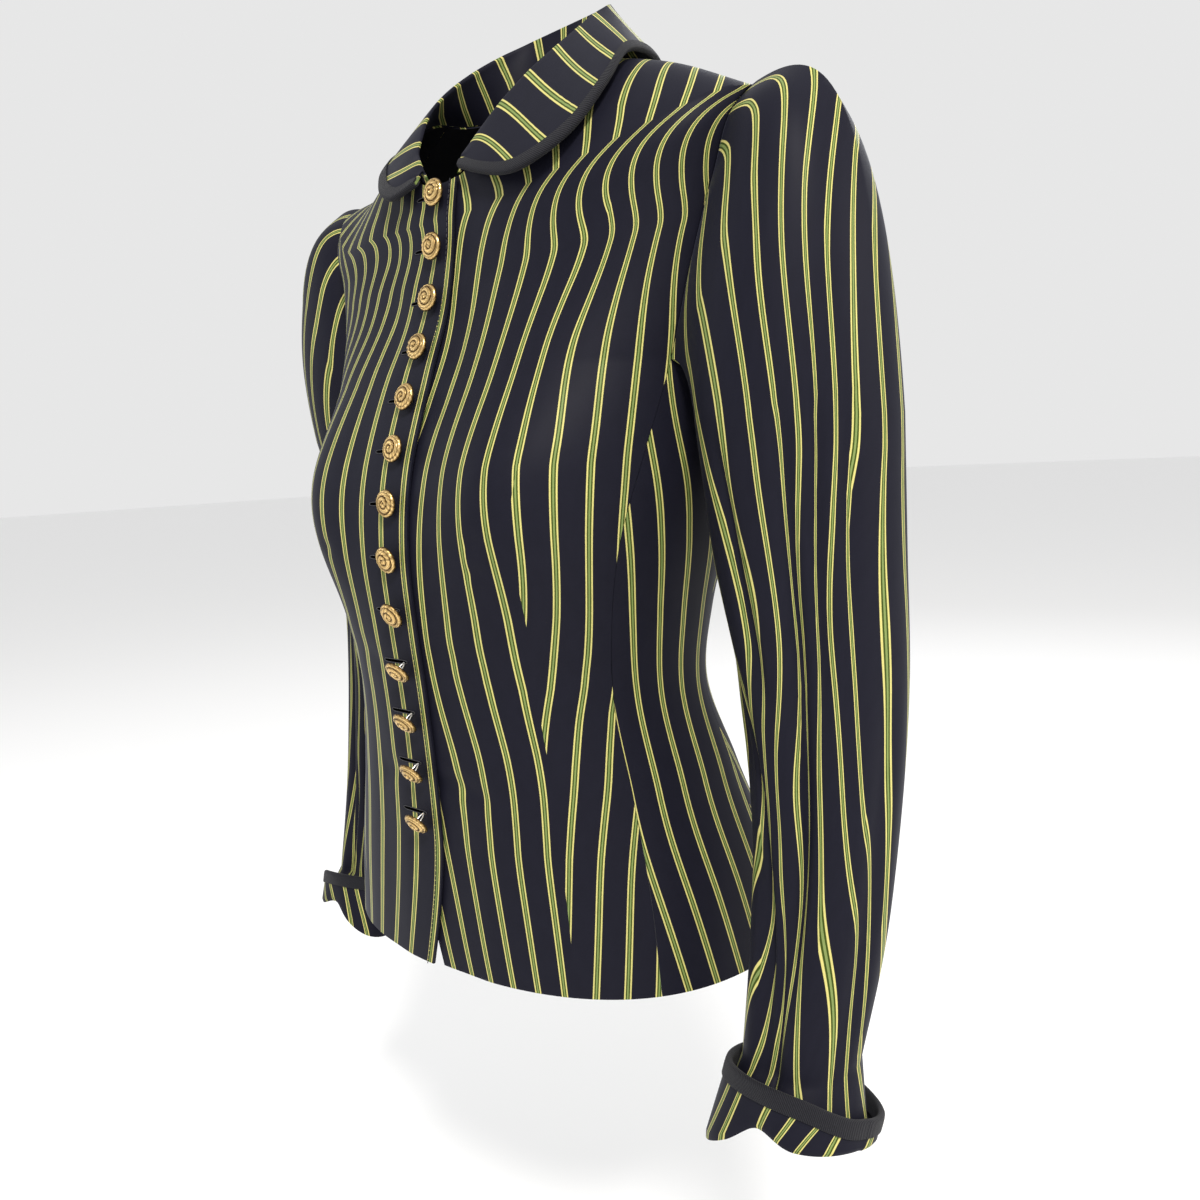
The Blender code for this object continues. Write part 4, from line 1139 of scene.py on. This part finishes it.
def tape_mesh(name, panel, towards, most):
    """Tape folded over the panel's last row, and down both faces towards another row, over most of
    the way at the deepest."""
    edge, before = panel.points[-1], panel.points[towards]
    length = np.linalg.norm(before - edge, axis=1, keepdims=True)
    down = (before - edge) / length
    deep = np.minimum(TAPE_DEPTH, most * length)
    out = unit(panel.reach[-1])
    section = np.array(TAPE_SECTION)
    loops = (
        edge[:, None]
        + out[:, None] * section[None, :, :1]
        + down[:, None] * (deep[:, None] * section[None, :, 1:2] + section[None, :, 2:3])
    )
    run = lengths_along(edge)
    size = len(section)
    girth = lengths_along(loops[len(loops) // 2])
    girth = np.append(girth, girth[-1] + TAPE_CLOSING)
    run = np.append(run, run[-1] + np.linalg.norm(edge[0] - edge[-1]))
    count = len(loops)
    faces, corners = [], []
    for k in range(count if panel.ring else count - 1):
        n = (k + 1) % count
        for i in range(size):
            j = (i + 1) % size
            faces.append((k * size + i, k * size + j, n * size + j, n * size + i))
            corners.append((
                (girth[i], run[k]), (girth[i + 1], run[k]),
                (girth[i + 1], run[k + 1]), (girth[i], run[k + 1]),
            ))
    if not panel.ring:
        for k in (0, count - 1):
            faces.append(tuple(k * size + i for i in range(size)))
            corners.append(tuple((girth[i], run[k]) for i in range(size)))
    mesh = bpy.data.meshes.new(name)
    mesh.from_pydata((loops.reshape(-1, 3) * CM).tolist(), [], faces)
    places = np.array([place for face in corners for place in face], np.float32)
    mesh.uv_layers.new(name="cloth").data.foreach_set("uv", places.ravel())
    mesh.materials.append(TAPE_CLOTH)
    return finished(name, mesh)


TAPE_CLOTH = ribbed_tape()


def dress_tape(made, node):
    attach(made, "root")
    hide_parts(node)


for hand in ("left", "right"):
    made = tape_mesh(f"{hand}_cuff_binding", HALVES[hand]["cuff"], **CUFF_TAPE)
    dress_tape(made, f"cuff_tape_{hand}")

# The collar: one turned-down piece with its own stand, rounded ends, and tape round its outer edge.
# Each row gives a share of the way from the front end to the middle back, and there x, y and z of the
# roll line and of the outer edge.
LEFT_COLLAR = (
    (0.00, 2.1, -7.1, -5.9, 2.3, -7.8, -6.8),
    (0.08, 2.8, -6.4, -4.7, 4.4, -8.2, -7.6),
    (0.20, 4.0, -5.3, -2.9, 7.2, -8.2, -8.2),
    (0.32, 5.1, -3.8, -1.1, 9.5, -7.7, -7.6),
    (0.44, 5.9, -2.2, 0.4, 11.3, -6.5, -6.1),
    (0.56, 6.2, -0.2, 2.0, 12.2, -4.5, -3.5),
    (0.66, 6.1, 1.5, 3.3, 11.5, -1.4, -0.8),
    (0.76, 5.6, 3.6, 4.6, 9.9, 3.4, 0.0),
    (0.88, 3.6, 5.9, 5.7, 6.3, 7.8, -1.0),
    (1.00, 0.0, 6.7, 6.0, 0.0, 9.5, -1.3),
)
RIGHT_COLLAR = (
    (0.00, 1.8, -7.3, -6.3, 1.6, -8.2, -7.2),
    (0.08, 2.5, -6.9, -5.5, 3.2, -8.6, -7.8),
    (0.20, 3.5, -6.2, -4.6, 5.0, -8.2, -7.3),
    (0.32, 4.2, -5.3, -3.4, 6.9, -6.9, -6.1),
    (0.44, 4.9, -3.9, -1.5, 8.8, -5.0, -4.5),
    (0.56, 5.4, -2.0, 0.3, 10.4, -2.2, -2.9),
    (0.66, 5.7, 0.3, 2.0, 10.8, 0.8, -1.4),
    (0.76, 5.5, 2.9, 3.7, 9.8, 4.4, -0.5),
    (0.88, 3.6, 5.8, 5.4, 6.3, 7.8, -1.3),
    (1.00, 0.0, 6.7, 6.0, 0.0, 9.5, -1.3),
)
COLLAR_START = 1.4
NECK_GAP = 0.15
ROLL_LIFT = 0.12
ROLL_HALF_WIDTH = {"most": 0.8, "share": 0.35}
BOUND = {"past_tape": 0.1, "most": 0.45, "lift": 0.02}
NECK_POINTS = 30
COLLAR_SHARES = np.linspace(0, 1, 70)
COLLAR_PLACES = np.linspace(0, 5, 40)
ROLL_ROW = len(COLLAR_PLACES) * 2 // 5
STAND_LEAN = -0.3
COLLAR_STRIPES = (
    # stripe, and how far it lies from the middle of the back along the roll and along the edge
    (-0.48, 0.0, 0.0), (0, 1.1, 1.4), (1, 3.4, 4.2), (2, 6.9, 8.1), (3, 9.3, 9.6), (4, 11.6, 10.7),
    (5, 14.1, 12.2), (6, 16.8, 13.8), (7, 19.4, 16.0), (8, 22.2, 18.6), (9, 25.0, 21.5),
)


def points_at(line, length, at):
    """Points of a line at these lengths along it."""
    return np.stack([np.interp(at, length, line[:, k]) for k in range(3)], axis=-1)


def neck_seam(share, right):
    """The neckline's points, from where the collar starts to the middle of the back."""
    front, back = FRONT_ROWS[NECK], BACK_ROWS[NECK]
    first = np.arcsin(COLLAR_START / (front[2] / np.sin(front[5])))
    line = np.vstack([
        along_row(front, np.linspace(first, front[5], NECK_POINTS)),
        along_row(back, np.linspace(back[5], 0, NECK_POINTS))[1:],
    ])
    if right:
        line = right_side(line)
    length = lengths_along(line)
    return points_at(line, length, share * length[-1])


def collar_half(table, right):
    """Half of the collar: from the neck seam up the stand, over the roll and down the fall."""
    values = from_table(table, COLLAR_SHARES)
    seam = neck_seam(COLLAR_SHARES, right) + (0, 0, NECK_GAP)
    roll, edge = values[:, :3], values[:, 3:]
    stand = unit(seam - roll)
    size = np.linalg.norm(edge - roll, axis=1, keepdims=True)
    fall = (edge - roll) / size
    near = np.minimum(ROLL_HALF_WIDTH["most"], ROLL_HALF_WIDTH["share"] * size)
    before = roll + stand * near
    after = roll + fall * near + (0, 0, ROLL_LIFT)
    tape = np.minimum(TAPE_DEPTH + BOUND["past_tape"], BOUND["most"] * size)
    bound = edge - fall * tape + np.array([0, 0, BOUND["lift"]]) * size
    knots = np.stack([seam, before, roll, after, bound, edge])
    flat = hermite(np.arange(6), knots.reshape(6, -1), COLLAR_PLACES)
    grid = flat.reshape(len(COLLAR_PLACES), len(COLLAR_SHARES), 3)
    return grid * (-1, 1, 1) if right else grid


left_half, right_half = collar_half(LEFT_COLLAR, False), collar_half(RIGHT_COLLAR, True)
collar = Panel(np.concatenate([right_half, left_half[:, ::-1][:, 1:]], axis=1))
run = steps_along(collar.points, 1)[ROLL_ROW]
down = steps_along(collar.points, 0)
from_back = run - run[len(COLLAR_SHARES) - 1]
order, at_roll, at_edge = np.array(COLLAR_STRIPES).T
share = np.clip((down - down[ROLL_ROW]) / (down[-1] - down[ROLL_ROW]), STAND_LEAN, 1)
number = np.array([
    [np.interp(abs(from_back[c]), at_roll + (at_edge - at_roll) * s, order) for c, s in enumerate(row)]
    for row in share
])
made = cloth_mesh("collar_cloth", collar, number, number, (SATIN, SATIN))
dress(made, "collar")
made = tape_mesh("collar_binding", collar, **COLLAR_TAPE)
dress_tape(made, "collar_tape")

# The buttons: gilt brass domes, 18 mm across, cast as a coil of rope inside a rope rim, on a silvery
# wire shank. They sit down the right front's middle line, each with the lean given in a table.
BUTTON = {"radius": 0.9, "rings": 26, "spokes": 120, "turns": 2.6, "strands": 34, "rope": 0.085}
BUTTON_DOME = ((0.0, 0.40), (0.42, 0.35), (0.72, 0.24), (0.86, 0.14), (0.9, 0.06))
BUTTON_UNDER = ((0.86, 0.0), (0.55, -0.02), (0.06, -0.02))
BUTTON_TIP, BUTTON_MIDDLE = 0.03, 0.02
RIM = {"from": 0.72, "middle": 0.80, "half_width": 0.07}
STRAND = {"narrowest": 0.25, "slant": 3.0}
ROPE = {"roundness": 0.6, "core": 0.75, "strand": 0.45, "sunk": 0.6}
# The hollow share turns the gilt dark brown as painted shade: most between the rope's coils, and set
# amounts under the button and at its middle tip.
HOLLOW = {"most": 1.30, "less": 1.7, "roundness": 0.8, "core": 0.45, "strand": 0.55}
UNDER_HOLLOW, TIP_HOLLOW, BUTTON_TWIST = 0.3, 0.6, 0.9
SHANK = {"wire": 0.055, "half_width": 0.20, "height": 0.42, "steps": 14, "sides": 8}
BUTTON_ROW = {"first_z": -8.1, "step": 3.45, "count": 13, "shank": 0.42, "rim_clearance": 0.12}
DROOP = ((0, 6, 8, 9, 12), (4, 8, 22, 34, 36))
FOOT = {"radius": 0.13, "clearance": 0.04}
FALL_LINE = {"points": 400, "step": 0.5}
GILT_COLOURS = (0.70, 0.42, 0.12, 1.0), (0.98, 0.74, 0.36, 1.0)
# The dark brown of the painted shade in the buttons' hollows and under them.
PAINTED_HOLLOW_SHADE = (0.045, 0.018, 0.004, 1.0)
GILT_WEAR = {"scale": 700.0, "detail": 3.0}
GILT_ROUGHNESS = {"least": 0.12, "hollow": 0.35, "worn": 0.16}
WIRE_COLOURS = (0.55, 0.53, 0.50, 1.0), (0.85, 0.83, 0.80, 1.0)
WIRE_SPOTS = 500.0
WIRE_ROUGHNESS = {"least": 0.18, "worn": 0.2}


def gilt():
    gold = Maker("gilt", Metallic=1.0)
    worn = gold.speckle(GILT_WEAR["scale"], GILT_WEAR["detail"])
    hollow = gold.node("ShaderNodeAttribute", {"attribute_name": "hollow"}, {})
    deep = Value(gold, hollow.outputs["Fac"])
    # The gilt's random wear, darkened with painted shade where the hollow share is high.
    gold.colour(gold.mix(deep, gold.mix(worn, *GILT_COLOURS), PAINTED_HOLLOW_SHADE))
    rough = GILT_ROUGHNESS
    gold.roughness(deep * rough["hollow"] + worn * rough["worn"] + rough["least"])
    return gold.material


def silvery():
    wire = Maker("shank_wire", Metallic=1.0)
    worn = wire.speckle(WIRE_SPOTS)
    wire.colour(wire.mix(worn, *WIRE_COLOURS))
    wire.roughness(worn * WIRE_ROUGHNESS["worn"] + WIRE_ROUGHNESS["least"])
    return wire.material


GILT, WIRE = gilt(), silvery()


def button_form(shank):
    """Points, faces and hollow shares of one button, with its face up and its foot at the origin."""
    size = BUTTON
    reach = np.linspace(BUTTON_TIP, size["radius"], size["rings"])
    turn = np.linspace(0, 2 * np.pi, size["spokes"], endpoint=False)
    r, t = np.meshgrid(reach, turn, indexing="ij")
    dome = np.array(BUTTON_DOME)
    height = np.interp(r, dome[:, 0], dome[:, 1])
    wound = (r / size["radius"] * size["turns"] - t / (2 * np.pi)) % 1.0
    coil = np.sin(np.pi * wound)
    rim = np.exp(-(((r - RIM["middle"]) / RIM["half_width"]) ** 2))
    ridge = np.where(r > RIM["from"], rim, coil)
    spread = np.clip(r / size["radius"], STRAND["narrowest"], 1)
    strand = 0.5 + 0.5 * np.sin(t * size["strands"] / 2 * spread + wound * STRAND["slant"])
    relief = size["rope"] * (ridge ** ROPE["roundness"] * (ROPE["core"] + ROPE["strand"] * strand))
    height = height + relief - size["rope"] * ROPE["sunk"]
    # Painted shade: least on the rope's crests, most in the hollows between them.
    filled = HOLLOW["less"] * ridge ** HOLLOW["roundness"] * (HOLLOW["core"] + HOLLOW["strand"] * strand)
    hollow = np.clip(HOLLOW["most"] - filled, 0, 1)
    top = np.stack([r * np.cos(t), r * np.sin(t), shank + height], axis=-1).reshape(-1, 3)
    under = np.array(BUTTON_UNDER)
    below = np.concatenate([
        np.stack([a * np.cos(turn), a * np.sin(turn), np.full(len(turn), shank + b)], axis=-1)
        for a, b in under
    ])
    ends = [(0, 0, shank + dome[0, 1] - BUTTON_MIDDLE), (0, 0, shank - BUTTON_MIDDLE)]
    points = np.concatenate([top, below, ends])
    shade = np.concatenate([
        hollow.ravel(), np.full(len(below), UNDER_HOLLOW), (TIP_HOLLOW, UNDER_HOLLOW),
    ])
    rows, count = size["rings"] + len(under), size["spokes"]
    faces = []
    for k, i in np.ndindex(rows - 1, count):
        here, there = k * count, (k + 1) * count
        after = (i + 1) % count
        faces.append((here + i, there + i, there + after, here + after))
    tip, foot = len(points) - 2, len(points) - 1
    faces += [(tip, i, (i + 1) % count) for i in range(count)]
    last = (rows - 1) * count
    faces += [(foot, last + (i + 1) % count, last + i) for i in range(count)]
    return points, faces, shade


def shank_form(shank):
    """A wire loop under the button, its two legs down to the cloth."""
    size = SHANK
    turn = np.linspace(0, np.pi, size["steps"])
    out, up = size["half_width"] * np.cos(turn), shank * (1 - np.sin(turn))
    line = np.stack([out, np.zeros(len(turn)), up], axis=-1)
    tangent = unit(np.gradient(line, axis=0))
    side = np.array([0.0, 1.0, 0.0])
    around = np.linspace(0, 2 * np.pi, size["sides"], endpoint=False)
    rings = [
        point + size["wire"] * (np.cos(a) * side + np.sin(a) * np.cross(way, side))
        for point, way in zip(line, tangent) for a in around
    ]
    count = size["sides"]
    faces = []
    for k, i in np.ndindex(size["steps"] - 1, count):
        here, there = k * count, (k + 1) * count
        after = (i + 1) % count
        faces.append((here + i, here + after, there + after, there + i))
    last = (size["steps"] - 1) * count
    faces += [tuple(range(count)), tuple(range(last, last + count))[::-1]]
    return np.array(rings), faces


def button_places():
    """Where each button's stem meets the right front, and the cloth's direction there."""
    line = []
    for values in row_values(FRONT_ROWS, np.linspace(0, KNOTS[-1], FALL_LINE["points"])):
        line.append((0, values[1], values[0]))
    line = figure(np.array(line))[::-1]
    line[:, 1] -= LAP_LIFT
    length = lengths_along(line)
    first = np.interp(-BUTTON_ROW["first_z"], -line[:, 2], length)
    at = first + BUTTON_ROW["step"] * np.arange(BUTTON_ROW["count"])
    points = points_at(line, length, at)
    down = points_at(line, length, at + FALL_LINE["step"]) - points
    return points, unit(np.cross(down, (1.0, 0.0, 0.0)))


for number, (place, direction) in enumerate(zip(*button_places())):
    droop = np.radians(np.interp(number, *DROOP))
    lean = BUTTON["radius"] * np.sin(droop) + BUTTON_ROW["rim_clearance"]
    shank = max(BUTTON_ROW["shank"], lean / np.cos(droop))
    tilted = Vector(direction)
    tilted.rotate(Quaternion((1.0, 0.0, 0.0), droop))
    clear = CLOTH / 2 + FOOT["clearance"] + FOOT["radius"] * np.sin(droop)
    turned = tilted.to_track_quat("Z", "Y").to_matrix().to_4x4()
    pose = Matrix.Translation(place + direction * clear) @ turned
    twist = Matrix.Rotation(BUTTON_TWIST * number, 4, "Z")
    points, faces, shade = button_form(shank)
    loop, loop_faces = shank_form(shank)
    points = np.concatenate([np.array([twist @ Vector(p) for p in points]), loop])
    faces = faces + [tuple(len(shade) + k for k in face) for face in loop_faces]
    mesh = bpy.data.meshes.new(f"rope_button_{number + 1:02d}")
    mesh.from_pydata([pose @ Vector(p) * CM for p in points], [], faces)
    values = np.concatenate([shade, np.zeros(len(loop))]).astype(np.float32)
    mesh.attributes.new("hollow", "FLOAT", "POINT").data.foreach_set("value", values)
    mesh.materials.append(GILT)
    mesh.materials.append(WIRE)
    wire_faces = np.zeros(len(faces), np.int32)
    wire_faces[len(faces) - len(loop_faces) :] = 1
    mesh.polygons.foreach_set("material_index", wire_faces)
    turn_out(mesh)
    mesh.shade_smooth()
    made = linked(mesh.name, mesh)
    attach(made, "root")
    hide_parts(f"button_{number + 1:02d}")

# The buttonholes and the stitched edge, sewn with black thread. Each buttonhole is a slit 25 mm long
# under its button, worked round with close stitches, and a row of stitches runs 6 mm inside the edge.
THREAD = {"radius": 0.00030, "sides": 6, "twist": 1500.0}
THREAD_COLOURS = (0.010, 0.010, 0.012, 1.0), (0.050, 0.050, 0.060, 1.0)
THREAD_ROUGHNESS = {"least": 0.35, "fibre": 0.3}
BUTTONHOLE = {"from_x": 0.15, "length": 2.5, "half_width": 0.12, "points": 32, "round_end": 0.3}
BUTTONHOLE_STITCH = {"stitch": 0.0013, "step": 0.0007, "lift": 0.02}
EDGE_STITCH = {"stitch": 0.0026, "step": 0.0036, "inset": 0.6, "out": 1.2}
# A flat black sheet lies just over each slit: painted shade in the buttonhole's opening.
SLIT = {"half_width": 0.09, "lift": 0.012, "reach": 0.95, "points": 9, "spots": 900.0}
SLIT_SHADE_COLOURS = (0.0, 0.0, 0.0, 1.0), (0.002, 0.002, 0.002, 1.0)


def stitch_tree():
    """Stitches along every edge of a mesh of lines."""
    tree = bpy.data.node_groups.new("stitches", "GeometryNodeTree")
    tree.interface.new_socket("Lines", in_out="INPUT", socket_type="NodeSocketGeometry")
    for name in ("Stitch Length", "Step", "Thread Radius"):
        tree.interface.new_socket(name, in_out="INPUT", socket_type="NodeSocketFloat")
    tree.interface.new_socket("Thread", in_out="INPUT", socket_type="NodeSocketMaterial")
    tree.interface.new_socket("Stitches", in_out="OUTPUT", socket_type="NodeSocketGeometry")
    made = {}
    for key, kind in (
        ("in", "NodeGroupInput"), ("out", "NodeGroupOutput"), ("curve", "GeometryNodeMeshToCurve"),
        ("points", "GeometryNodeCurveToPoints"), ("stitch", "GeometryNodeMeshCylinder"),
        ("place", "GeometryNodeInstanceOnPoints"), ("real", "GeometryNodeRealizeInstances"),
        ("thread", "GeometryNodeSetMaterial"),
    ):
        made[key] = tree.nodes.new(kind)
    made["points"].mode = "LENGTH"
    made["stitch"].inputs["Vertices"].default_value = THREAD["sides"]
    for start, socket, end, into in (
        ("in", "Lines", "curve", "Mesh"), ("curve", "Curve", "points", "Curve"),
        ("in", "Step", "points", "Length"), ("in", "Thread Radius", "stitch", "Radius"),
        ("in", "Stitch Length", "stitch", "Depth"), ("points", "Points", "place", "Points"),
        ("points", "Rotation", "place", "Rotation"), ("stitch", "Mesh", "place", "Instance"),
        ("place", "Instances", "real", "Geometry"), ("real", "Geometry", "thread", "Geometry"),
        ("in", "Thread", "thread", "Material"), ("thread", "Geometry", "out", "Stitches"),
    ):
        tree.links.new(made[start].outputs[socket], made[end].inputs[into])
    return tree


def sewn(name, lines, size):
    """A mesh of stitches along each of the lines, which are in centimetres."""
    points, edges = [], []
    for line in lines:
        first = len(points)
        points += [tuple(point) for point in np.asarray(line) * CM]
        edges += [(first + k, first + k + 1) for k in range(len(line) - 1)]
    mesh = bpy.data.meshes.new(name)
    mesh.from_pydata(points, edges, [])
    guide = linked(name, mesh)
    stitches = guide.modifiers.new("stitches", "NODES")
    stitches.node_group = STITCHES
    values = {
        "Stitch Length": size["stitch"], "Step": size["step"],
        "Thread Radius": THREAD["radius"], "Thread": BLACK_THREAD,
    }
    for item in STITCHES.interface.items_tree:
        if item.name in values and item.in_out == "INPUT":
            stitches[item.identifier] = values[item.name]
    shape = guide.evaluated_get(bpy.context.evaluated_depsgraph_get())
    result = bpy.data.meshes.new_from_object(shape)
    guide.modifiers.clear()
    guide.data = result
    result.shade_smooth()
    return guide


def black_thread():
    thread = Maker("black_thread", Specular_IOR_Level=0.3)
    fibre = thread.speckle(THREAD["twist"])
    thread.colour(thread.mix(fibre, *THREAD_COLOURS))
    thread.roughness(fibre * THREAD_ROUGHNESS["fibre"] + THREAD_ROUGHNESS["least"])
    return thread.material


def outer_point(panel, x, z, lift):
    """The place over the panel's outer face, at x and z, and the face's direction."""
    outside = panel.points + panel.reach
    rows = []
    for row, reach in zip(outside, panel.reach):
        order = np.argsort(row[:, 0])
        data = np.hstack([row, unit(reach)])[order]
        rows.append([np.interp(x, data[:, 0], data[:, k]) for k in range(6)])
    rows = np.array(rows)
    found = np.array([np.interp(z, rows[:, 2], rows[:, k]) for k in range(6)])
    return found[:3] + lift * found[3:]


# Near-black with no shine: the painted shade in each buttonhole's opening.
def painted_slit_shade():
    dark = Maker("painted_slit_shade", Specular_IOR_Level=0.0)
    dark.colour(dark.mix(dark.speckle(SLIT["spots"]), *SLIT_SHADE_COLOURS))
    return dark.material


STITCHES, BLACK_THREAD = stitch_tree(), black_thread()
right_front = HALVES["right"]["front"]
size, half = BUTTONHOLE, BUTTONHOLE["length"] / 2
middle, count = size["from_x"] - half, SLIT["points"]
loops, slits = [], []
for place in button_places()[0]:
    turn = np.linspace(0, 2 * np.pi, size["points"])
    across = np.sign(np.cos(turn)) * half * np.abs(np.cos(turn)) ** size["round_end"]
    loops.append([
        outer_point(
            right_front, middle + a, place[2] + size["half_width"] * np.sin(t),
            BUTTONHOLE_STITCH["lift"],
        )
        for a, t in zip(across, turn)
    ])
    slits += [
        outer_point(
            right_front, middle + side * half, place[2] + up * SLIT["half_width"], SLIT["lift"],
        )
        for side in np.linspace(-SLIT["reach"], SLIT["reach"], count) for up in (-1, 1)
    ]
holes = sewn("buttonhole_stitches", loops, BUTTONHOLE_STITCH)

# Painted shade: a black strip lifted just over each buttonhole's slit.
mesh = bpy.data.meshes.new("buttonhole_slit_shade")
starts = [2 * (count * n + k) for n in range(BUTTON_ROW["count"]) for k in range(count - 1)]
mesh.from_pydata(
    (np.array(slits) * CM).tolist(), [], [(at, at + 2, at + 3, at + 1) for at in starts],
)
mesh.materials.append(painted_slit_shade())
slit = linked("buttonhole_slit_shade", mesh)

outside = right_front.points + right_front.reach * EDGE_STITCH["out"]
inset = steps_along(outside, 1)
line = [
    [np.interp(EDGE_STITCH["inset"], inset[k], outside[k, :, axis]) for axis in range(3)]
    for k in range(len(outside))
]
edging = sewn("edge_stitching", [line], EDGE_STITCH)
for made in (holes, slit, edging):
    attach(made, "root")
